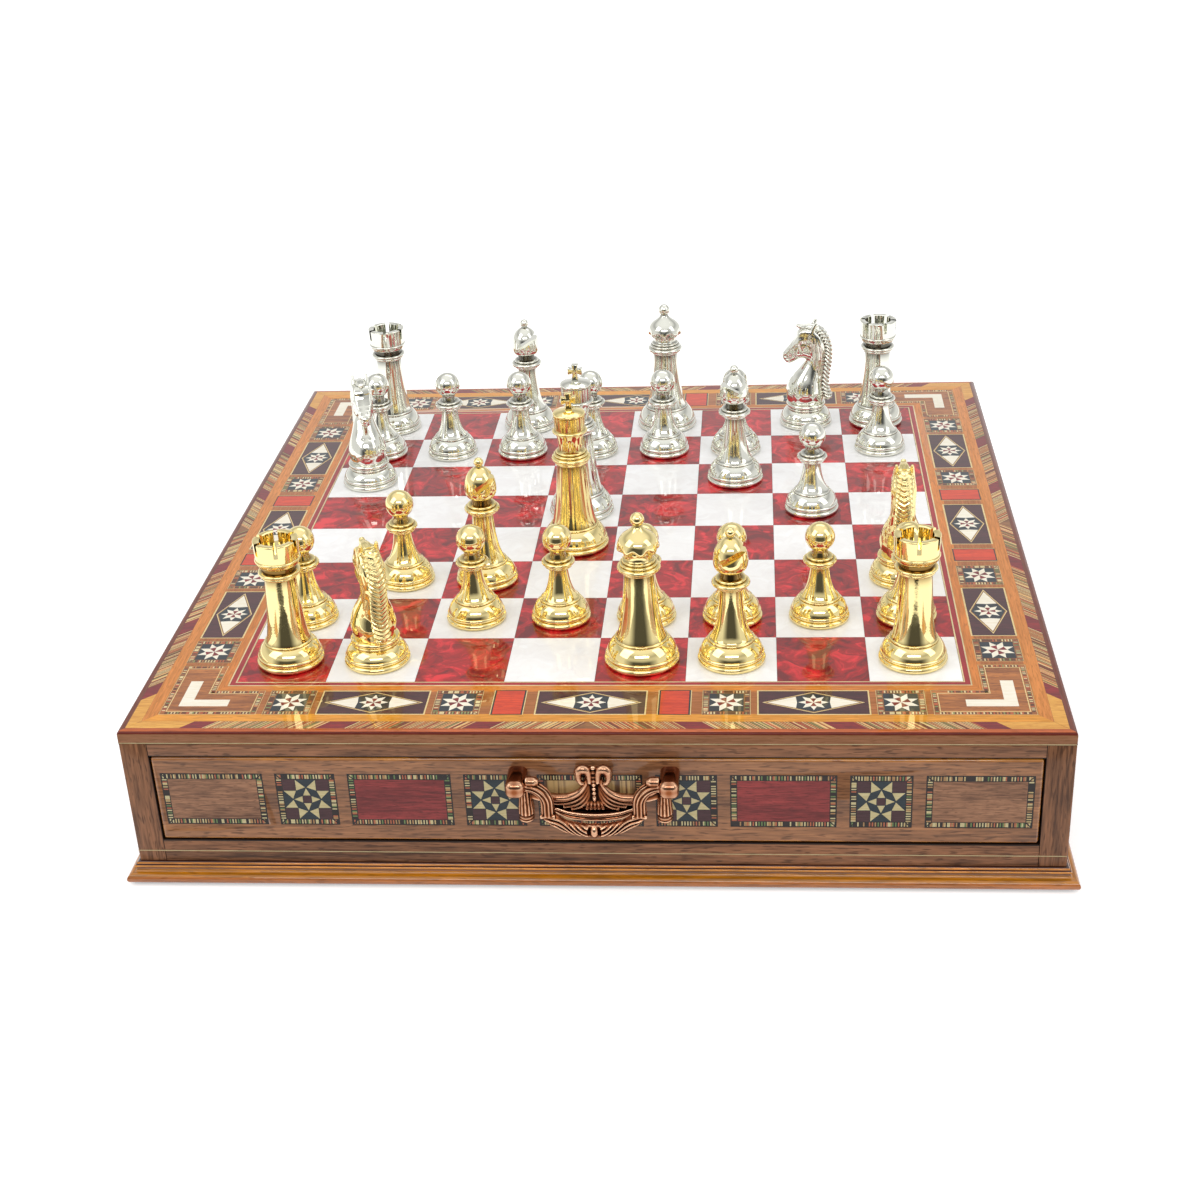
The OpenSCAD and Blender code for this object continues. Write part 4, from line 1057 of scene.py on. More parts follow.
def corner_tile(seed):
    parts = [ring(corner_shape(GLUE), CREAM, 4), ring(corner_shape(0.3 * MM), CORNER_WOOD, 3)]
    corners = [Vector((x, y, 0)) for x, y in corner_shape(0)]
    for k, (start, stop) in enumerate(zip(corners, corners[1:] + corners[:1])):
        along = (stop - start).normalized()
        inward = Vector((-along.y, along.x, 0))
        first, last = CLEAR.get(k, (BAND, BAND))
        run = (stop - start).length - first - last
        middle = start + along * (first + run / 2) + inward * (BAND / 2 + 0.25 * MM)
        sticks = row(run, BAND * 0.6, TOP_STICK, TOP_STICKS, seed + k, depth=2)
        parts.append(moved(sticks, middle, math.atan2(along.y, along.x)))
    low = ELL_IN - BAND_OUT
    high, end = low + ELL_W, low + ELL_LEN
    leg = [(low + 0.05 * MM, low), (end, low), (end, high), (high, high)]
    parts += [ring(corner_shape(BAND + 0.2 * MM), CREAM, 2),
              ring(corner_shape(BAND + 0.6 * MM), CORNER_WOOD, 1), ring(leg, IVORY),
              ring([(y, x) for x, y in reversed(leg)], IVORY)]
    return joined("corner_tile", parts)


# %% Red tiles
red_tile = joined("red_tile", [oblong(RED_LEN - GLUE, TILE - GLUE, CREAM, 3),
                               oblong(RED_LEN - 0.9 * MM, TILE - GLUE, INK, 2),
                               oblong(RED_LEN - 2.3 * MM, TILE - 1.2 * MM, RED)])
corners = [at_side(corner_tile(40 + 7 * side), (0, 0, TOP), side) for side in range(4)]
reds = on_four_sides([(red_tile, -RED_X), (red_tile, RED_X)])
shown("corner_and_red_inlay", joined("corner_and_red_inlay", corners + reds), "corner_and_red_tiles")

# %% [markdown]
# The rope banding is sawn from a slanted stack of sticks. It leans one way in the left half of
# a side and the other way in the right half. Red blocks part it, and long yellow corner
# pieces end it.

# %% Rope banding
ROPE_HALF = ROPE_W / 2
CORNER_END = 171 * MM
RED_BLOCKS = [(38.3, 50.1), (99.9, 112.5), (161.2, 171.0)]
ROPE_STICK = 0.62 * MM


def slanted(x0, x1, way):
    """A block with both ends leaning the same way as the sticks."""
    shift, w = way * ROPE_HALF, ROPE_HALF
    return [(x0 - shift, -w), (x1 - shift, -w), (x1 + shift, w), (x0 + shift, w)]


def rope_side(seed):
    w = ROPE_HALF
    inner, heel = ROPE_OUT - ROPE_W, CORNER_END + w
    parts = [ring([(-ROPE_OUT, -w), (ROPE_OUT, -w), (inner, w), (-inner, w)], OLIVE, 2)]
    end = [(heel, -w), (ROPE_OUT - GLUE, -w), (inner - GLUE, w), (heel - ROPE_W, w)]
    spans = [0] + [x for red in RED_BLOCKS for x in red]
    for way in (-1, 1):
        for k in range(0, len(spans) - 1, 2):
            start = spans[k] * MM if k else w + 0.2 * MM
            stop = spans[k + 1] * MM
            sticks = row(stop - start, ROPE_W, ROPE_STICK, ROPE_STICKS, seed + k + way, lean=-1.0 * way)
            parts.append(moved(sticks, (way * (start + stop) / 2, 0, 0)))
        for x0, x1 in RED_BLOCKS:
            parts.append(ring(slanted(*sorted((way * x0 * MM, way * x1 * MM)), -way), CHERRY, 0.5))
        parts.append(ring(end if way > 0 else [(-x, y) for x, y in reversed(end)], MAPLE, 0.2))
    return joined("rope_side", parts)


ropes = [at_side(rope_side(80 + 9 * side), (0, ROPE_HALF - ROPE_OUT, TOP), side) for side in range(4)]
shown("rope_inlay", joined("rope_inlay", ropes), "rope_banding")

# %% [markdown]
# ## Drawer fronts
# Nine panels lie along each drawer front, each in its own stringing with dark mitred corners:
# walnut, star, red, star, striped maple, star, red, star, walnut. They are laid out flat and
# then stood up, once for the front and once, turned round, for the back.

# %% One panel of a drawer front
PANEL, GAP, MARGIN, FRONT_BAND, FRONT_STICK = 26 * MM, 5.3 * MM, 3 * MM, 3.0 * MM, 0.6 * MM
LONG = ((FACE_HI.x - FACE_LO.x) / 2 - MARGIN - 2 * PANEL - 4 * GAP) / 2.5
PANEL_STEP = (PANEL + LONG) / 2 + GAP


def front_star():
    """Corner squares, eight outer triangles with their tips in pairs, four inner ones, a middle square."""
    half = PANEL / 2 - FRONT_BAND
    parts = [oblong(2 * half, 2 * half, FRONT["slate"], 1)]
    chips = [("purple", [(0.45, 0.45), (1, 0.45), (1, 1), (0.45, 1)]),
             ("cream", [(0.43, 0.45), (0.43, 0.98), (0.04, 0.61)]),
             ("cream", [(-0.04, 0.61), (-0.43, 0.98), (-0.43, 0.45)]),
             ("cream", [(-0.16, 0.2), (0.16, 0.2), (0, 0.56)])]
    for wood, points in chips:
        parts.append(ring([(x * half, y * half) for x, y in points], FRONT[wood], count=4))
    return parts + [oblong(0.34 * half, 0.34 * half, FRONT["purple"])]


def front_panel(kind, seed):
    width = PANEL if kind == "star" else LONG
    parts = [oblong(width - GLUE, PANEL - GLUE, FRONT["ink"], 4)]
    parts += stringing(width - 0.4 * MM, PANEL - 0.4 * MM, FRONT_BAND - 0.2 * MM, FRONT_STICK,
                       FRONT_STICKS, FRONT["ink"], seed)
    if kind == "star":
        return parts + front_star()
    return parts + [oblong(LONG - 2 * FRONT_BAND, PANEL - 2 * FRONT_BAND, FRONT[kind])]


# %% All the panels of both fronts
PANELS = ["walnut", "star", "red", "star", "striped", "star", "red", "star", "walnut"]
flat_panels = [moved(mesh, ((k - 4) * PANEL_STEP, 0, 0)) for k, kind in enumerate(PANELS)
               for mesh in front_panel(kind, 100 + 10 * k)]
stand_up = Matrix.Translation((0, -HALF, FACE_MID)) @ Matrix.Rotation(QUARTER, 4, "X")
for side, turn in (("front", 0), ("back", 2 * QUARTER)):
    mesh = joined(side + "_panels", flat_panels)
    mesh.transform(Matrix.Rotation(turn, 4, "Z") @ stand_up)
    shown(side + "_panels", mesh, side + "_drawer_inlay")
    print(side, "panels:", len(mesh.polygons), "faces")

# %% [markdown]
# Two thin cream lines are let into the case all the way round, one just under the lid and one
# just above the moulding.

# %% Cream lines of the case
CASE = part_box("side_panels")[1]
LINE_HEIGHTS = (70.3 * MM, 15.3 * MM)
LINE_H, LINE_OUT, LINE_DEEP = 0.3 * MM, 0.04 * MM, 0.4 * MM
lines = []
for z in LINE_HEIGHTS:
    for turn, reach, width in ((0, CASE.y, 2 * CASE.x), (1, CASE.x, 2 * CASE.y)):
        for way in (-1, 1):
            place = (0, way * (reach + LINE_OUT - LINE_DEEP / 2), z)
            strip = block((width + 2 * LINE_OUT, LINE_DEEP, LINE_H), place, FRONT["cream"])
            lines.append(moved(strip, turn=turn * QUARTER))
shown("cream_lines", joined("cream_lines", lines), "side_panels", "panel_inlay")

# %% [markdown]
# ## Turned and moulded shapes
# Outlines are written in millimetres, as distance from an axis or a wall and as height. Beads
# and hollows come from small helpers.

# %% Helpers for outlines
def arc(radius, height, size, start, stop, steps=10):
    turns = [math.radians(start + (stop - start) * i / steps) for i in range(steps + 1)]
    return [(radius + size * math.cos(t), height + size * math.sin(t)) for t in turns]


def bead(radius, height, size):
    """A half-round bead that stands out to this radius, upwards from this height."""
    return arc(radius - size / 2, height + size / 2, size / 2, -90, 90, 8)


def hollow(start, lean, stop, steps):
    """A smooth bend from start to stop that leans towards a third point."""
    shares = [i / steps for i in range(1, steps + 1)]
    return [tuple((1 - t) ** 2 * a + 2 * t * (1 - t) * c + t * t * b for a, c, b in zip(start, lean, stop))
            for t in shares]


def bends(start, *runs):
    """A point and the bends that follow it, each the point it leans towards, its end and its steps."""
    made = [start]
    for lean, stop, steps in runs:
        made += hollow(made[-1], lean, stop, steps)
    return made


# %% [markdown]
# The base moulding was run with a cutter: from the floor up it has a thick round, a hollow, a
# bead and a quarter round, parted by dark quirks. Its four strips are mitred at the corners.

# %% Base moulding
BASE_LO, BASE_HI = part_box("base_moulding")
BASE_OUT, BASE_LAP, BASE_H = 5.5, 14, (BASE_HI.z - BASE_LO.z) / MM
BASE_PROFILE = ([(-BASE_LAP, 0)] + arc(BASE_OUT - 2.2, 2.2, 2.2, -90, 100, 14)
                + hollow((2.9, 4.35), (1.5, 4.6), (1.5, 6.2), 10) + [(1.1, 6.25), (1.1, 6.5)]
                + arc(1.6, 7.1, 0.6, -90, 90, 8) + [(0.8, 7.75), (0.8, 7.95)]
                + arc(0.3, 7.95, BASE_H - 7.95, 0, 90, 6) + [(-BASE_LAP, BASE_H)])


def mitred_strip(profile, wall, gap):
    """A strip along X whose outline stands off a wall towards -Y, cut at 45 degrees at both ends."""
    points = [(way * (wall + p * MM - gap), -(wall + p * MM), BASE_LO.z + h * MM)
              for way in (-1, 1) for p, h in profile]
    count = len(profile)
    sides = [(i, (i + 1) % count, count + (i + 1) % count, count + i) for i in range(count)]
    ends = [tuple(range(count)), tuple(range(count, 2 * count))]
    part = bmesh.new()
    part.from_mesh(mesh_of("outline", points, sides + ends))
    bmesh.ops.recalc_face_normals(part, faces=part.faces)
    return baked(part, "strip", MOULDING_WOOD)


strip = mitred_strip(BASE_PROFILE, BASE_HI.x - BASE_OUT * MM, 0.03 * MM)
strips = joined("base_moulding", [moved(strip, turn=k * QUARTER) for k in range(4)])
shown("wood_base_moulding", smooth(strips), "base_moulding")
print("moulding:", len(strips.polygons), "faces")

# %% [markdown]
# ## Chessmen
# A chessman is turned on a lathe before it is cast, so its shape is one outline spun about
# its axis. The tree takes the outline as a chain of points and lays a grid round it: one
# direction of the grid follows the outline and the other goes round. Points of the outline
# can be marked to swell and shrink in lobes, as in a queen's crown.

# %% Lathe
LATHE, given, end = mesh_tree("Lathe", ("Steps", "Int", 72), ("Lobes", "Int", 8),
                              ("Lobe Depth", "Float", 0.0), ("Lobe Lift", "Float", 0.0))
amount = add(LATHE, "GeometryNodeAttributeDomainSize", [given["Geometry"]]).outputs[0]
around = calc(LATHE, "ADD", given["Steps"], 1.0)
grid = add(LATHE, "GeometryNodeMeshGrid", [1.0, 1.0, around, amount])
index = add(LATHE, "GeometryNodeInputIndex").outputs[0]
at = calc(LATHE, "FLOORED_MODULO", index, amount)
turns = calc(LATHE, "DIVIDE", calc(LATHE, "FLOOR", calc(LATHE, "DIVIDE", index, amount)), given["Steps"])
angle = calc(LATHE, "MULTIPLY", turns, 2 * math.pi)


def along_outline(value, kind):
    return add(LATHE, "GeometryNodeSampleIndex", {0: given["Geometry"], 1: value, 2: at},
               data_type=kind).outputs[0]


spot = add(LATHE, "GeometryNodeInputPosition").outputs[0]
outline = split(LATHE, along_outline(spot, "FLOAT_VECTOR"))
lobed = add(LATHE, "GeometryNodeInputNamedAttribute", {"Name": "lobed"}, data_type="FLOAT").outputs[0]
wave = calc(LATHE, "COSINE", calc(LATHE, "MULTIPLY", angle, given["Lobes"]))
wave = calc(LATHE, "MULTIPLY", along_outline(lobed, "FLOAT"), wave)
radius = calc(LATHE, "MULTIPLY_ADD", wave, given["Lobe Depth"], outline[0])
height = calc(LATHE, "MULTIPLY_ADD", wave, given["Lobe Lift"], outline[2])
round_it = combined(LATHE, calc(LATHE, "MULTIPLY", radius, calc(LATHE, "COSINE", angle)),
                    calc(LATHE, "MULTIPLY", radius, calc(LATHE, "SINE", angle)), height)
shaped = add(LATHE, "GeometryNodeSetPosition", {"Geometry": grid, "Position": round_it})
whole = add(LATHE, "GeometryNodeMergeByDistance", {"Geometry": shaped, "Distance": 2e-6})
finish_mesh(LATHE, given, end, whole)


def spun(points, marks, material, steps, lobes, depth, lift=0.0):
    """Spins an outline of (radius, height). The marks say how strongly lobes show at each point."""
    links = [(i, i + 1) for i in range(len(points) - 1)]
    chain = mesh_of("outline", [(r, 0, z) for r, z in points], edges=links)
    chain.attributes.new("lobed", "FLOAT", "POINT").data.foreach_set("value", marks)
    return grow(LATHE, chain, Steps=steps, Lobes=lobes, Lobe_Depth=depth, Lobe_Lift=lift, Material=material)


# %% [markdown]
# The outline of a chessman runs from the middle of its base to its tip. All of them start with
# the same kind of foot.

# %% Outlines of the turned pieces
def foot(radius, top_radius, height):
    """Two rings and the slope above them."""
    wide = radius - 1.1
    lean = ((wide + top_radius) / 2 + 0.8, (5.35 + height) / 2 + 0.7)
    return ([(0, 0), (radius - 1.8, 0)] + bead(radius, 0, 3) + bead(radius - 0.6, 3.1, 2.2)
            + bends((wide, 5.35), (lean, (top_radius, height), 14)))


OUTLINES = {
    "pawn": foot(13.85, 9.5, 10.3) + bead(9.3, 10.4, 0.9)
    + bends((8.6, 11.4), ((5.0, 15.5), (4.1, 26.8), 16)) + bead(6.4, 26.9, 1.4) + bead(7.65, 28.4, 2)
    + bead(6, 30.5, 1.2) + [(4, 31.8), (3.4, 33.6)] + arc(0, 40.7, 6.7, -58, 90, 26),
    "rook": foot(15.1, 10.8, 10.3) + bead(10.7, 10.4, 1.0) + bends((9.9, 11.5), ((7.9, 17), (6.9, 42.6), 16))
    + bead(8.3, 42.7, 1.5) + bead(9.3, 44.3, 1.6) + [(7.4, 46)]
    + bends((7.4, 48), ((9.4, 48.6), (9.7, 50.4), 8)) + bead(10.1, 50.5, 1.4) + [(9.6, 52), (10, 59.9)]
    + arc(9.6, 60.1, 0.4, 0, 90, 3) + [(7.4, 60.5), (7.0, 60.2), (6.7, 55.4), (0, 55.4)],
    "bishop": foot(15, 10.4, 10.5) + bead(10.3, 10.6, 1.0) + bends((9.5, 11.7), ((5.8, 17), (4.9, 35.8), 16))
    + bead(6.6, 35.9, 1.3) + bead(8.4, 37.3, 2.2) + bead(6.8, 39.6, 1.3) + [(4.8, 41.2)]
    + bends((4.4, 43.4), ((8.0, 44.6), (7.5, 49.4), 10), ((7.2, 57), (1.7, 59.4), 14))
    + arc(0, 61.7, 2.3, -50, 90, 14),
    "queen": foot(16.7, 12, 11.1) + bead(11.9, 11.2, 1.0) + bends((11, 12.3), ((8.2, 19), (6.5, 43.4), 16))
    + bead(7.8, 43.5, 1.2) + bead(9.5, 44.8, 2.4) + bead(8.4, 47.3, 1.3) + bead(7.4, 48.7, 1.2)
    + bends((6.2, 50.6), ((5.9, 52.6), (6.4, 53.6), 6), ((7.6, 54.4), (8.5, 54.9), 5),
            ((9.3, 55.6), (8.9, 57.2), 6), ((8.4, 60.2), (5.2, 62.2), 10), ((3.4, 63.4), (2.2, 64.9), 6))
    + arc(0, 68.2, 3.1, -50, 90, 18),
    "king": foot(16.7, 12, 11.1) + bead(11.9, 11.2, 1.0) + bends((11, 12.3), ((8.6, 20), (7.1, 44.2), 16))
    + bead(8.4, 44.3, 1.3) + bead(9.6, 45.7, 2.4) + bead(8.5, 48.2, 1.3) + bead(7.4, 49.6, 1.2)
    + bends((5.9, 51.6), ((5.9, 57), (7.2, 60), 10)) + bead(8.6, 60.1, 1.6) + [(7.4, 61.9), (7.6, 68.6)]
    + bead(7.9, 68.7, 1.8) + [(6.4, 70.9), (0, 71.9)],
    "knight": foot(14.75, 10.4, 9.4) + bead(10.6, 9.5, 1.2) + bead(11, 10.8, 2.4) + [(0, 13.2)],
}
# Heights between which lobes show, their fade upwards, their number, depth and lift
LOBED = {"queen": (53.5, 58.6, 3.4, 8, 0.4, -0.8), "king": (62.3, 68.4, 0.1, 22, 0.22, 0.0)}
NO_LOBES = (0, 0, 1, 8, 0, 0)


def turned(kind, diameter, height, material):
    """Spins an outline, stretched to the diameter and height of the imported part."""
    points = OUTLINES[kind]
    wide, tall = diameter / 2 / max(p[0] for p in points), height / max(p[1] for p in points)
    low, high, fade, lobes, depth, lift = LOBED.get(kind, NO_LOBES)
    marks = [min(1.0, (high - z) / fade) if low < z < high else 0.0 for r, z in points]
    return spun([(r * wide, z * tall) for r, z in points], marks, material, 88 if lobes > 8 else 72,
                lobes, depth * MM, lift * MM)


# %% [markdown]
# The battlements of a rook and the slit in a bishop's mitre are sawn out with boolean
# cutters. The king's cross is a flat outline with thickness and rounded edges.

# %% Cutting
def one_finish(mesh, material):
    """Gives every face of a mesh the same finish."""
    mesh.materials.clear()
    mesh.materials.append(material)
    mesh.polygons.foreach_set("material_index", [0] * len(mesh.polygons))
    return mesh


def cut_out(mesh, cutters, material):
    """Takes each cutter out of a mesh."""
    whole = in_scene("whole", mesh)
    tools = [in_scene("tool", cutter) for cutter in cutters]
    for tool in tools:
        saw = whole.modifiers.new("saw", "BOOLEAN")
        saw.object, saw.operation, saw.solver = tool, "DIFFERENCE", "EXACT"
    return one_finish(evaluated(whole, *tools), material)


def slab(points, y0, y1, material, round_by=0.0):
    """An upright outline in X and Z, from y0 back to y1, with its edges rounded."""
    part = bmesh.new()
    face = part.faces.new([part.verts.new((x, y0, z)) for x, z in points])
    grown = bmesh.ops.extrude_face_region(part, geom=[face])["geom"]
    back = [g for g in grown if isinstance(g, bmesh.types.BMVert)]
    bmesh.ops.translate(part, vec=(0, y1 - y0, 0), verts=back)
    bmesh.ops.recalc_face_normals(part, faces=part.faces)
    if round_by:
        rounded(part, list(part.edges), round_by, 3)
    return baked(part, "slab", material)


# %% From a turned piece to a chessman
CROSS_H, CROSS_W, CROSS_T = 8.2 * MM, 7.2 * MM, 3 * MM


def cross(base_height, material):
    """Four flared arms on a short neck."""
    w, t, flare = CROSS_W / 2, 1.15 * MM, 1.9 * MM
    middle, root = base_height + CROSS_H - w, base_height - 0.6 * MM
    right = [(t, t), (w, flare), (w, -flare), (t, -t)]
    points = [(x, middle + z) for x, z in right] + [(flare, root), (-flare, root)]
    points += [(-x, middle + z) for x, z in reversed(right)]
    points += [(-flare * 0.9, middle + w), (flare * 0.9, middle + w)]
    return slab(points, -CROSS_T / 2, CROSS_T / 2, material, 0.35 * MM)


def chessman(kind, diameter, height, material):
    if kind == "king":
        height -= CROSS_H
        return joined("king", [turned(kind, diameter, height, material), cross(height, material)])
    body = turned(kind, diameter, height, material)
    if kind == "rook":
        size, place = (1.2 * diameter, 1.9 * MM, 8 * MM), (0, 0, height - 1.6 * MM)
        saws = [block(size, place, turn=Matrix.Rotation(a * math.pi / 3, 4, "Z")) for a in (0.5, 1.5, 2.5)]
        return cut_out(body, saws, material)
    if kind == "bishop":
        lean = Matrix.Rotation(math.radians(-28), 4, "Y")
        place = Vector((0, 0, height * 0.81)) + lean @ Vector((5.5 * MM, 0, 0))
        return cut_out(body, [block((20 * MM, 30 * MM, 2.8 * MM), place, turn=lean)], material)
    return body


# %% [markdown]
# ## Knights
# The horse is carved as two reliefs back to back. Its side view is filled with fine
# triangles, and every point is then pushed out to the half width of the horse there. The
# width comes from a few measured spots and falls off in a round edge towards the outline.

# %% Curves and distances
def spline(points, steps=6, closed=False):
    """A smooth curve through all the points."""
    pts = [np.array(p, float) for p in points]
    n = len(pts)
    at = (lambda i: pts[i % n]) if closed else (lambda i: pts[min(max(i, 0), n - 1)])
    made = []
    for i in range(n if closed else n - 1):
        a, b, c, d = at(i - 1), at(i), at(i + 1), at(i + 2)
        for k in range(steps):
            t = k / steps
            made.append(0.5 * (2 * b + (c - a) * t + (2 * a - 5 * b + 4 * c - d) * t ** 2
                               + (3 * b - a - 3 * c + d) * t ** 3))
    if not closed:
        made.append(pts[-1])
    return np.array(made)


def edge_distance(spots, chain):
    """The distance of each spot from a closed chain of points."""
    best = np.full(len(spots), 1e9)
    for a, b in zip(chain, np.roll(chain, -1, axis=0)):
        run = b - a
        t = np.clip(((spots - a) @ run) / max(run @ run, 1e-12), 0, 1)
        best = np.minimum(best, np.linalg.norm(spots - a - t[:, None] * run, axis=1))
    return best


def inside(spots, chain):
    """True for each spot within a closed chain."""
    hits = np.zeros(len(spots), bool)
    for (x0, z0), (x1, z1) in zip(chain, np.roll(chain, -1, axis=0)):
        crosses = (z0 > spots[:, 1]) != (z1 > spots[:, 1])
        hits ^= crosses & (spots[:, 0] < (x1 - x0) * (spots[:, 1] - z0) / (z1 - z0 + 1e-12) + x0)
    return hits


# %% [markdown]
# The fine triangles have their corners on the outline and on a grid of staggered rows within
# it. Front and back are the same triangles, and a seam joins them along the outline.

# %% Filling an outline with fine triangles
def relief(outline, depth_of, spacing, material):
    """Fills an outline in X and Z, and pushes its points out to depth_of(points, distance from its edge)."""
    low, high = outline.min(0), outline.max(0)
    grid = np.array([(x, z) for j, z in enumerate(np.arange(low[1], high[1], spacing * 0.87))
                     for x in np.arange(low[0] + (j % 2) * spacing / 2, high[0], spacing)])
    grid = grid[inside(grid, outline) & (edge_distance(grid, outline) > 0.55 * spacing)]
    n = len(outline)
    loop = [(i, (i + 1) % n) for i in range(n)]
    spots = [Vector(p) for p in np.vstack([outline, grid])]
    verts, edges, faces = delaunay_2d_cdt(spots, loop, [], 1, 1e-5)[:3]
    flat = np.array([tuple(v) for v in verts])
    depth = depth_of(flat, edge_distance(flat, outline))
    count = len(flat)
    points = [(x, -way * d, z) for way in (1, -1) for (x, z), d in zip(flat, depth)]
    made = [tuple(f) for f in faces] + [tuple(count + i for i in reversed(f)) for f in faces]
    used = dict.fromkeys((a, b) for face in faces for a, b in zip(face, face[1:] + face[:1]))
    made += [(b, a, count + a, count + b) for a, b in used if (b, a) not in used]
    part = bmesh.new()
    corners = [part.verts.new(p) for p in points]
    for face in made:
        part.faces.new([corners[i] for i in face])
    bmesh.ops.remove_doubles(part, verts=part.verts, dist=1e-4)
    bmesh.ops.dissolve_degenerate(part, edges=part.edges, dist=1e-5)
    bmesh.ops.recalc_face_normals(part, faces=part.faces)
    return baked(part, "relief", material)


# %% Side view of the horse, facing left
HORSE = np.vstack([
    spline([(-8.6, 11.6), (-10.4, 14), (-11.3, 18), (-10.6, 23), (-8.2, 27.4), (-4.6, 30.8), (-1.2, 33.6),
            (0.4, 36.4), (-0.9, 38.6), (-3.4, 38.8), (-6.4, 37), (-9.2, 35.9)], 5)[:-1],
    spline([(-9.2, 35.9), (-11.2, 36.4), (-12.4, 37.8)], 3)[:-1],
    spline([(-12.4, 37.8), (-13.4, 39.6), (-13.1, 41.8), (-10.6, 45), (-8.2, 48), (-6.2, 51.2), (-5.2, 54),
            (-3.4, 56), (0, 56.6), (4, 55.8), (8, 52.4), (10.6, 47), (11, 40), (10.4, 32), (9.6, 24),
            (9.8, 16), (9.4, 11.6)], 5)])
# Place along X, height, and half the width of the horse there
HALF_WIDTHS = np.array([
    (-7, 17, 8.6), (-9.5, 14, 8.0), (0, 14, 10.0), (7, 15, 8.6), (-5, 24, 7.6), (3, 24, 7.8), (8, 24, 6.0),
    (-1, 30, 5.6), (6, 32, 5.2), (4, 40, 5.0), (9, 42, 4.9), (-1, 44, 5.0), (-5, 43, 4.4), (-9, 41, 3.2),
    (-11.5, 39, 2.7), (-13, 40, 2.4), (-5, 49, 4.6), (1, 50, 5.4), (6, 50, 5.3), (-3, 54.5, 4.7),
    (3, 54.5, 5.2)])
FLAT_FOOT = 11.7
# The round chest and the root of the neck: place along X, height, radius
CHEST = [(0, 12.4, 8.4), (-0.2, 16, 9.8), (-0.2, 20, 10.2), (0.8, 25, 9.0), (2.6, 30, 7.1), (4.3, 35, 5.6),
         (5.2, 40, 4.8), (5.2, 44, 4.2)]
# Round bumps of the eye, the brow and the nostril: place along X, height, size, and how far each stands out
FEATURES = [(-4.6, 48.4, 1.1, 0.9), (-4.6, 48.4, 0.45, -0.5), (-3.6, 50.2, 1.4, 0.7),
            (-11.7, 40.7, 0.8, -1.1), (-12.2, 41.9, 0.9, 0.4)]


def horse_depth(spots, away):
    gap = np.linalg.norm(spots[:, None, :] - HALF_WIDTHS[None, :, :2], axis=2)
    near = 1 / (gap ** 3 + 0.5)
    half = (near * HALF_WIDTHS[:, 2]).sum(1) / near.sum(1)
    rim = np.clip(away / (half * 0.95), 0, 1)
    rim = np.where(spots[:, 1] < FLAT_FOOT, 1, rim)
    x, z = spots.T
    square = 2 + 2.6 * np.clip((z - 40) / 10, 0, 1)
    depth = half * np.clip(1 - (1 - rim) ** square, 0, 1) ** (1 / square)
    locks = x - (5.2 + 1.3 * np.sin(z / 5.5)) - np.clip((z - 46) * -0.02, -1, 1)
    hair = np.exp(-(locks / 3.2) ** 4) * np.clip((z - 17) / 5, 0, 1) * np.clip((53 - z) / 5, 0, 1)
    depth += hair * (0.45 + 0.3 * np.cos(2 * math.pi * (locks + 0.3 * np.sin(z / 3.4)) / 2.1))
    cheek = np.hypot(x + 1.6, z - 43.6)
    depth += 0.45 / (1 + np.exp((cheek - 4.4) / 0.25))
    for at_x, at_z, size, height in FEATURES:
        depth += height * np.exp(-((x - at_x) ** 2 + (z - at_z) ** 2) / size ** 2)
    mouth = np.abs(z - (38.6 + (x + 12.4) * 0.28)) / 0.35
    depth -= 0.7 * np.exp(-mouth ** 2) * (x < -8.6)
    return np.where(away < 1e-6, np.where(z < FLAT_FOOT, depth, 0), np.maximum(depth, 0.02))


# %% [markdown]
# The mane is a thick lock that is combed over the neck like a rope and curls out at its foot.
# It is swept along a line with a wavy, twisted cross-section. The ears and the tufts of the
# forelock are short tapered sweeps.

# %% Sweeping a tapered, twisted lock
# A pitch so long that the ridges run straight
STRAIGHT = 1e9


def swept(line, radii, material, flat=1.0, ridges=0, ridge=0.0, pitch=1.0, sides=20, plaited=False):
    """A closed tube along a line. The radii follow it, and ridges wind round it or meet at its spine."""
    line, radii = np.array(line, float), np.array(radii, float)
    tangents = np.gradient(line, axis=0)
    tangents /= np.linalg.norm(tangents, axis=1)[:, None]
    across = np.array((0, 1.0, 0))
    travelled = np.concatenate([[0], np.cumsum(np.linalg.norm(np.diff(line, axis=0), axis=1))])
    part, rings = bmesh.new(), []
    for place, tangent, radius, run in zip(line, tangents, radii, travelled):
        out = np.cross(tangent, across)
        out /= max(np.linalg.norm(out), 1e-9)
        loop = []
        for k in range(sides):
            a = 2 * math.pi * k / sides
            bend = min(a, 2 * math.pi - a) if plaited else a
            swell = radius * (1 + ridge * math.cos(ridges * bend + 2 * math.pi * run / pitch))
            spot = place + out * swell * math.cos(a) + across * swell * flat * math.sin(a)
            loop.append(part.verts.new(spot))
        rings.append(loop)
    for a, b in zip(rings, rings[1:]):
        for k in range(sides):
            part.faces.new((a[k], a[(k + 1) % sides], b[(k + 1) % sides], b[k]))
    part.faces.new(rings[0])
    part.faces.new(rings[-1])
    bmesh.ops.recalc_face_normals(part, faces=part.faces)
    return baked(part, "lock", material)


def in_plane(points, y=0.0):
    return [(x, y, z) for x, z in points]


def fused(meshes, voxel, material):
    """Melts overlapping pieces into one casting with small fillets."""
    whole = in_scene("whole", joined("whole", meshes))
    melt = whole.modifiers.new("melt", "REMESH")
    melt.mode, melt.voxel_size, melt.use_smooth_shade = "VOXEL", voxel, True
    relax = whole.modifiers.new("relax", "SMOOTH")
    relax.factor, relax.iterations = 0.5, 2
    return one_finish(evaluated(whole), material)


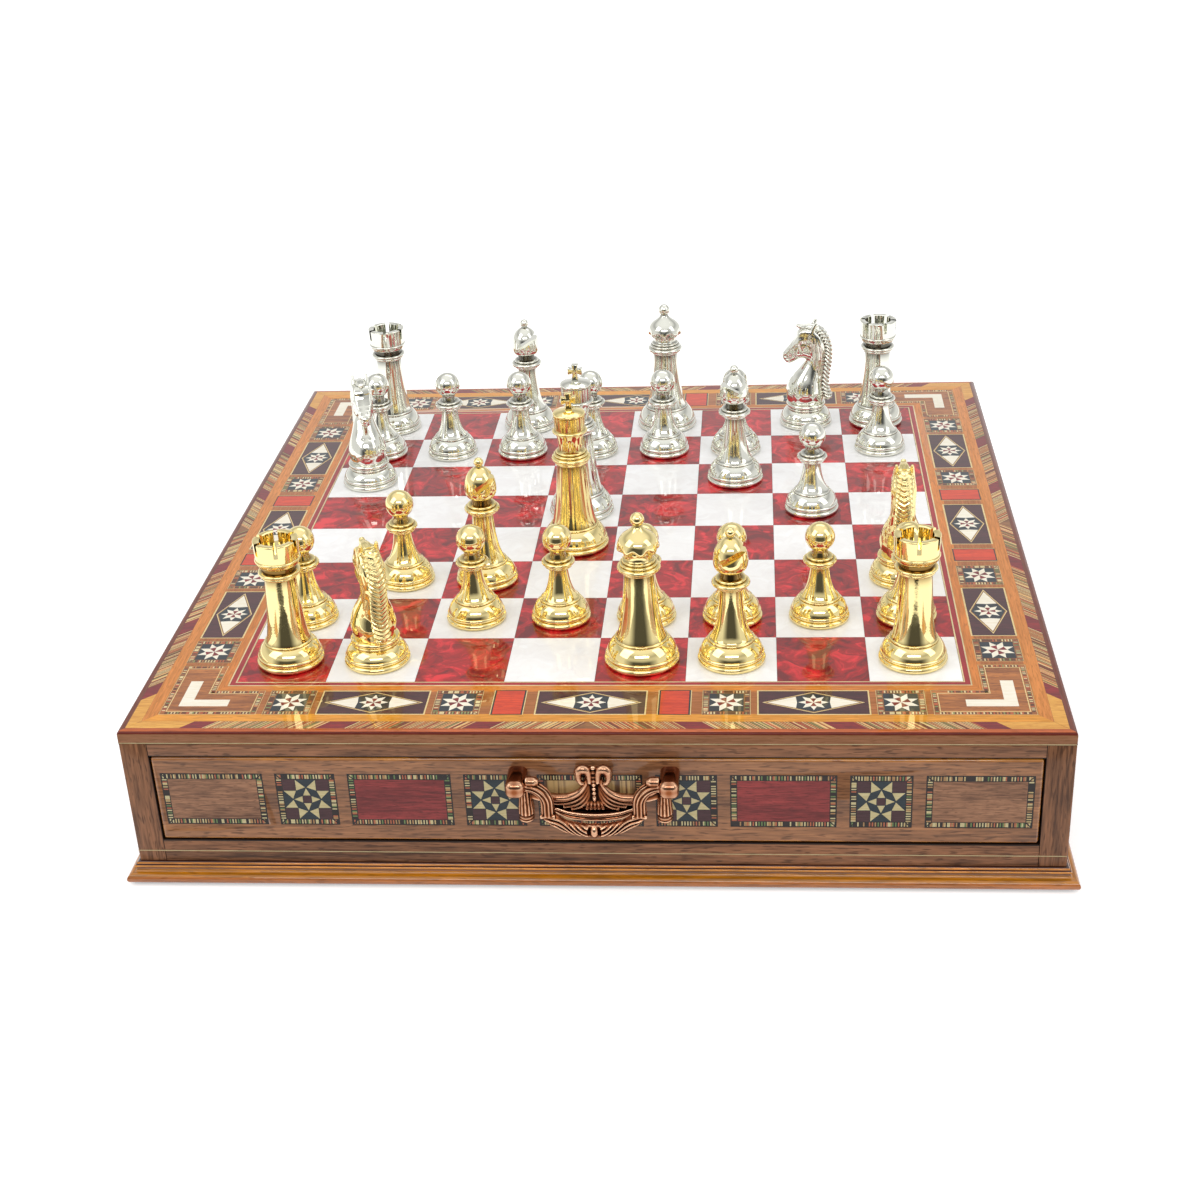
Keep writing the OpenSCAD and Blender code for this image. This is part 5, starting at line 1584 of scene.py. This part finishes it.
# %% Knight
HORSE_TOP, HORSE_BASE, HORSE_VOXEL = 60, 13.2, 0.3
MANE = [(4.4, 55.6), (7.2, 54.8), (10.2, 51), (12.2, 45), (12.2, 37), (11, 28.5), (10.8, 21.5), (12.4, 17),
        (13.9, 15)]
EAR, EAR_Y = [(2.6, 52), (3.8, 56.4), (5.4, 60)], 3.6
FORELOCK = [(4.6, 56), (0.6, 57), (-3.2, 57.1), (-5.6, 58.2)]


def knight(kind, diameter, height, material):
    unit = height / HORSE_TOP
    line = spline(MANE, 14)
    share = np.linspace(0, 1, len(line))
    thick = 2.2 * np.clip(share / 0.08, 0.25, 1) ** 0.5 * np.clip((1 - share) / 0.06, 0.2, 1) ** 0.5
    mane = swept(in_plane(line), thick, material, flat=1.7, ridges=5, ridge=0.15, pitch=2.3, sides=56,
                 plaited=True)
    chest = spline(CHEST, 5)
    chest = swept(in_plane(chest[:, :2]), chest[:, 2], material, sides=56)
    parts = [relief(HORSE, horse_depth, 0.5, material), mane, chest]
    for y in (-EAR_Y, EAR_Y):
        ear = spline(EAR, 5)
        parts.append(swept(in_plane(ear, y), np.linspace(2.2, 0.8, len(ear)), material, flat=0.8, sides=16))
    tuft = spline(FORELOCK, 8)
    parts.append(swept(in_plane(tuft), np.linspace(2.2, 0.7, len(tuft)), material, flat=1.5, ridges=8,
                       ridge=0.07, pitch=STRAIGHT, sides=48))
    horse = fused(parts, HORSE_VOXEL, material)
    horse.transform(Matrix.Diagonal((unit, unit, unit, 1)))
    return joined("knight", [horse, turned(kind, diameter, HORSE_BASE * unit, material)])


# %% [markdown]
# Each kind of piece is made once in each metal. Its copies stand in the middle of the squares
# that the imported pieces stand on, and some are turned, as a hand has set them down.

# %% Setting up the game
TURNS = {"gold_rook_1": 12, "gold_knight_1": -62, "gold_knight_2": -92, "gold_bishop_1": 20, "gold_king": 8,
         "gold_queen": 11, "silver_rook_1": 5, "silver_rook_2": 20, "silver_knight_1": 106,
         "silver_bishop_1": 8, "silver_bishop_2": 180, "silver_king": -6}
KNIGHT_BASE = 29.5 * MM


def square_middle(place):
    return (math.floor(place / SQUARE) + 0.5) * SQUARE


SIZES = {}
for kind in OUTLINES:
    low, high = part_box(f"silver_{kind}" if kind in ("king", "queen") else f"silver_{kind}_1")
    SIZES[kind] = (2 * (high.x - square_middle(high.x)), high.z - TOP)
SIZES["knight"] = (KNIGHT_BASE, SIZES["knight"][1])
moulds = {}
for node in [n for n in frame["nodes"] if n.split("_")[0] in METALS]:
    metal_name, kind = node.split("_")[:2]
    if (metal_name, kind) not in moulds:
        make = knight if kind == "knight" else chessman
        moulds[metal_name, kind] = make(kind, *SIZES[kind], METALS[metal_name])
    low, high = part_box(node)
    place = [square_middle(c) for c in ((low + high) / 2)[:2]] + [low.z]
    mesh = moved(moulds[metal_name, kind], place, math.radians(TURNS.get(node, 0)))
    shown("cast_" + node, smooth(mesh, math.radians(40)), node)
print("chessmen:", {key[1]: len(mesh.polygons) for key, mesh in moulds.items() if key[0] == "gold"})

# %% [markdown]
# ## Handles
# A handle is two castings: a plate with two posts, and a bail that hangs between the posts.
# Both are built in millimetres round the middle of the handle, where Y points into the drawer
# and the front of the drawer is at zero. Swept ridges, scrolls and beads are laid on a thin
# backing and then melted together.

# %% Shapes for the castings
POST_X, POST_W, POST_H, POST_OUT = 32, 8.3, 7.9, 14.5
PIN_OUT, BAIL_X, ELBOW_R, ARM_R, ARM_X = 9, 27.9, 8.6, 2.7, 19.3
FINE = 0.28


def pair(meshes):
    """The meshes, and a mirrored copy of each on the other side of X with its faces outward."""
    copies = [mesh.copy() for mesh in meshes]
    for copy in copies:
        copy.transform(Matrix.Diagonal((-1, 1, 1, 1)))
        copy.flip_normals()
    return meshes + copies


def both_halves(half):
    """A closed outline from its right half, which starts above and ends at the middle."""
    return [(x, z) for x, z in half] + [(-x, z) for x, z in reversed(half) if x > 0]


def cable(points, radii, out, **options):
    """A smooth tapered ridge through points in X and Z, this far out from the drawer."""
    line = spline(points, 6)
    thick = np.interp(np.linspace(0, 1, len(line)), np.linspace(0, 1, len(radii)), radii)
    return swept(in_plane(line, -out), thick, COPPER, **options)


def ball(x, z, out, radius, wide=1.0, tall=1.0):
    part = bmesh.new()
    bmesh.ops.create_uvsphere(part, u_segments=24, v_segments=16, radius=radius)
    mesh = baked(part, "ball", COPPER)
    mesh.transform(Matrix.Translation((x, -out, z)) @ Matrix.Diagonal((wide, 1, tall, 1)))
    return mesh


def rod(radius, start, stop):
    """A plain round bar between two points."""
    part = bmesh.new()
    bmesh.ops.create_cone(part, cap_ends=True, segments=40, radius1=radius, radius2=radius, depth=1)
    mesh = baked(part, "rod", COPPER)
    start, stop = Vector(start), Vector(stop)
    run = stop - start
    stand = run.to_track_quat("Z", "Y").to_matrix().to_4x4()
    mesh.transform(Matrix.Translation((start + stop) / 2) @ stand @ Matrix.Diagonal((1, 1, run.length, 1)))
    return mesh


# %% [markdown]
# The plate is a fan. Ridges start at a column of beads and sweep out to both sides, two
# scrolls crown it, and a curved rim closes it below a dark slot. Fluted tassels hang under
# the posts.

# %% Outlines of a plate
FAN = spline([(3.2, -2), (4.6, -6), (8, -9), (13, -9.6), (20.4, -9.2), (20.4, -12.2), (14, -14.6), (7, -15.8),
              (0, -16)], 5)
# Points of each ridge, its radii, and how far out it lies
RIDGES = [([(2.4, 0.4), (3.6, -3.6), (6.6, -7.6), (11, -9.8), (16, -10.2), (20.5, -9.8)],
           (0.8, 1.4, 1.9, 1.8), 2.5),
          ([(2.2, -1.2), (3.1, -5.6), (5.8, -9.9), (9.8, -12.3), (14.5, -13), (19.2, -12.4)],
           (0.6, 1.0, 0.9), 2.3),
          ([(1.9, -3), (2.7, -7.4), (4.8, -11.4), (8.2, -13.9), (13.4, -14.8)], (0.5, 0.9, 0.8), 2.1),
          ([(1.6, -5), (2.3, -9.2), (3.9, -12.9), (6.7, -15.2), (10.2, -16)], (0.45, 0.8, 0.7), 2.0)]
SCROLL = [(1.7, -2.6), (1.9, 1.4), (2.8, 3.7), (4.7, 4.3), (6.1, 3.1), (6.4, 1.0), (6.2, -1.0), (5.4, -2.6),
          (4.3, -2.6)]
STRAP = [(18.6, -12.2), (18.6, -9.2), (23, -8.6), (27, -5.4), (29, 1), (34, 0), (32.5, -6), (28, -10.4),
         (23, -12.4)]
TASSEL_LOW, TASSEL_X, TASSEL_OUT = 24.2, 29.4, 0.9
TASSEL = ([(0, -TASSEL_LOW), (0.9, -23.9), (1.5, -23), (1.6, -22)] + bead(3.4, -22, 1.3)
          + bead(3.3, -20.6, 1.2) + [(2.8, -19.3), (3.3, -18.4), (3.0, -15), (2.6, -10), (2.2, -5),
                                     (1.9, -2.4), (0, -2)])


def tassel():
    """A turned piece with flutes between its beads and its top."""
    marks = [float(-19.2 < z < -3) for r, z in TASSEL]
    return spun(TASSEL, marks, COPPER, 80, 12, 0.28)


def fan():
    """The ridges of the fan with the beads and short ridges between them, and the scrolls above."""
    parts = [slab(both_halves(FAN), -1.5, 0, COPPER),
             slab([(-2.2, 4), (2.2, 4), (2.2, -13), (-2.2, -13)], -2.4, 0, COPPER)]
    for points, radii, out in RIDGES:
        parts += pair([cable(points, radii, out)])
    parts += pair([cable(SCROLL, (1.0, 1.7, 2.2, 2.1, 1.5, 1.0, 0.7), 3.0), ball(4.2, 2.0, 1.0, 2.4)])
    parts += [ball(0, 5.0 - 2.1 * k, 3.0, 1.15 - 0.03 * k, tall=0.92) for k in range(7)]
    parts.append(ball(0, -10.3, 2.6, 0.9, tall=1.9))
    for x, top in ((0, -11.6), (1.5, -11.4), (3.0, -12)):
        parts += pair([cable([(x * 0.7, top), (x, -13.6), (x * 1.15, -16.4)], (0.4, 0.75, 0.65), 2.0)])
    return parts


def rim():
    """Two curved ridges below the fan, and a thin backing that leaves a slot above them."""
    parts = []
    for reach, lower in ((16.8, 0), (17.8, 1.9)):
        end, half, low = -15.4 - lower * 0.4, reach * 0.6, -17.9 - lower
        line = [(-reach, end), (-half, low), (0, low - 1), (half, low), (reach, end)]
        parts.append(cable(line, (0.5, 0.85, 0.9, 0.85, 0.5), 2.7))
    backing = list(spline([(-18.6, -14.4), (-11, -17.8), (0, -18.8), (11, -17.8), (18.6, -14.4)], 5))
    band = backing + [(x, z - 2.1) for x, z in reversed(backing)]
    slot_back = [(-18.6, -11)] + backing + [(18.6, -11)]
    return parts + [slab(band, -2, 0, COPPER), slab(slot_back, -0.8, 0, COPPER)]


# %% Plate of a handle
def post(side):
    mesh = block((POST_W, POST_OUT + 3, POST_H), (side * POST_X, (3 - POST_OUT) / 2, 0))
    part = bmesh.new()
    part.from_mesh(mesh)
    rounded(part, list(part.edges), 2.8, 6)
    return baked(part, "post", COPPER)


def handle_plate():
    parts = fan() + rim() + pair([slab(spline(STRAP, 4, closed=True), -2.2, 0, COPPER, 0.3)])
    parts += pair([cable([(19, -9.8), (24, -8.4), (27.6, -5), (28.6, 0)], (1.1, 1.0, 0.9), 1.8)])
    for side in (-1, 1):
        parts += [post(side), moved(tassel(), (side * TASSEL_X, -TASSEL_OUT, 0))]
    bores = [rod(1.75, (side * 28, -PIN_OUT, 0), (side * 33.2, -PIN_OUT, 0)) for side in (-1, 1)]
    return cut_out(fused(parts, FINE, COPPER), [block((90, 8, 60), (0, 4, -6))] + bores, COPPER)


# %% [markdown]
# The bail has fluted elbows and a grip that is carved as two leaves, which meet at a bud.

# %% Bail of a handle
GRIP = spline([(0, -19.2), (6, -18.7), (12, -17), (16.6, -13.6), (22, -13.6), (20.2, -17.6), (14, -22),
               (8, -24.2), (3.2, -25), (0, -25.6)], 5)
BUD_Z = -22.2


def leaf_depth(spots, away):
    x, z = np.abs(spots[:, 0]), spots[:, 1]
    round_off = np.clip(away / 2.2, 0, 1)
    veins = z - 0.62 * x + 1.3 * np.sin(x * 0.3 + 0.4)
    depth = 2.2 * np.sqrt(np.clip(1 - (1 - round_off) ** 2, 0, 1))
    depth += 0.6 * np.cos(2 * math.pi * veins / 1.9) * round_off ** 0.5
    bud = np.hypot(x / 2.9, (z - BUD_Z) / 4.2)
    return np.where(bud < 1, 1.1, depth) * (away > 1e-6)


def handle_bail():
    grip = relief(np.array(both_halves(GRIP)), leaf_depth, 0.3, COPPER)
    parts = [grip, ball(0, BUD_Z, 0, 2.9, wide=0.72, tall=1.12), ball(0, -24.6, 0, 1.4, wide=0.8)]
    elbow = [(BAIL_X - ELBOW_R * math.sin(t), -ELBOW_R + ELBOW_R * math.cos(t))
             for t in np.linspace(0, QUARTER, 14)]
    elbow += [(ARM_X, z) for z in (-10.5, -12.5, -14.2)]
    arm = cable(elbow, (ARM_R - 0.25, ARM_R, ARM_R), 0, ridges=10, ridge=0.1, pitch=STRAIGHT, sides=80)
    collar = [(ARM_X - 3.1, -14.6), (ARM_X, -14.2), (ARM_X + 3.1, -14.6)]
    parts += pair([arm]) + pair([cable(collar, (0.9, 1.0, 0.9), out) for out in (1.5, -1.5)])
    parts += pair([cable([(22.4, 1.9), (24, 1.9), (26, 1.9), (27.8, 1.9)], (1.1, 2.2, 2.4, 2.2), 0)])
    parts += pair([rod(1.5, (BAIL_X - 1.5, 0, 0), (BAIL_X + 4.6, 0, 0))])
    return fused(parts, FINE, COPPER)


# %% [markdown]
# Each point of a casting is compared with the same casting smoothed down. What stands out
# above it is a ridge, painted pale as rubbed metal and as painted highlight. What sinks below
# it is a hollow, painted dark as stain and as painted shade.

# %% Wear, painted shade and painted highlight on the castings
def wear_shade_and_highlight(mesh, passes=40, span=0.8):
    """Marks each point from 0 in a hollow to 1 on a ridge, by its height over the smoothed casting."""
    count = len(mesh.vertices)
    spots, normals, ends = np.empty(count * 3), np.empty(count * 3), np.empty(len(mesh.edges) * 2, int)
    mesh.vertices.foreach_get("co", spots)
    mesh.vertex_normals.foreach_get("vector", normals)
    mesh.edges.foreach_get("vertices", ends)
    spots, normals, (a, b) = spots.reshape(-1, 3), normals.reshape(-1, 3), ends.reshape(-1, 2).T
    links = np.bincount(ends, minlength=count)[:, None]
    soft = spots.copy()
    for step in range(passes):
        near = np.stack([np.bincount(a, soft[b, k], count) + np.bincount(b, soft[a, k], count)
                         for k in range(3)], 1)
        soft = (soft + near / links) / 2
    marks = np.clip(0.5 + ((spots - soft) * normals).sum(1) / span, 0, 1)
    mesh.attributes.new("wear_shade_and_highlight", "FLOAT", "POINT").data.foreach_set("value", marks)
    return mesh


# %% Handles of both drawers
plate_mould, bail_mould = wear_shade_and_highlight(handle_plate()), wear_shade_and_highlight(handle_bail())
bail_mould.transform(Matrix.Translation((0, -PIN_OUT, 0)))
plate_low, plate_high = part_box("front_handle_plate")
HANDLE = ((plate_low.x + plate_high.x) / 2, -HALF, plate_low.z + TASSEL_LOW * MM)
for side, turn in (("front", 0), ("back", 2 * QUARTER)):
    stand = Matrix.Rotation(turn, 4, "Z") @ Matrix.Translation(HANDLE) @ Matrix.Diagonal((MM, MM, MM, 1))
    for part_name, mould in (("plate", plate_mould), ("bail", bail_mould)):
        node = f"{side}_handle_{part_name}"
        mesh = mould.copy()
        mesh.transform(stand)
        shown("cast_" + node, smooth(mesh, math.radians(60)), node)
print("handle:", len(plate_mould.polygons), "and", len(bail_mould.polygons), "faces")
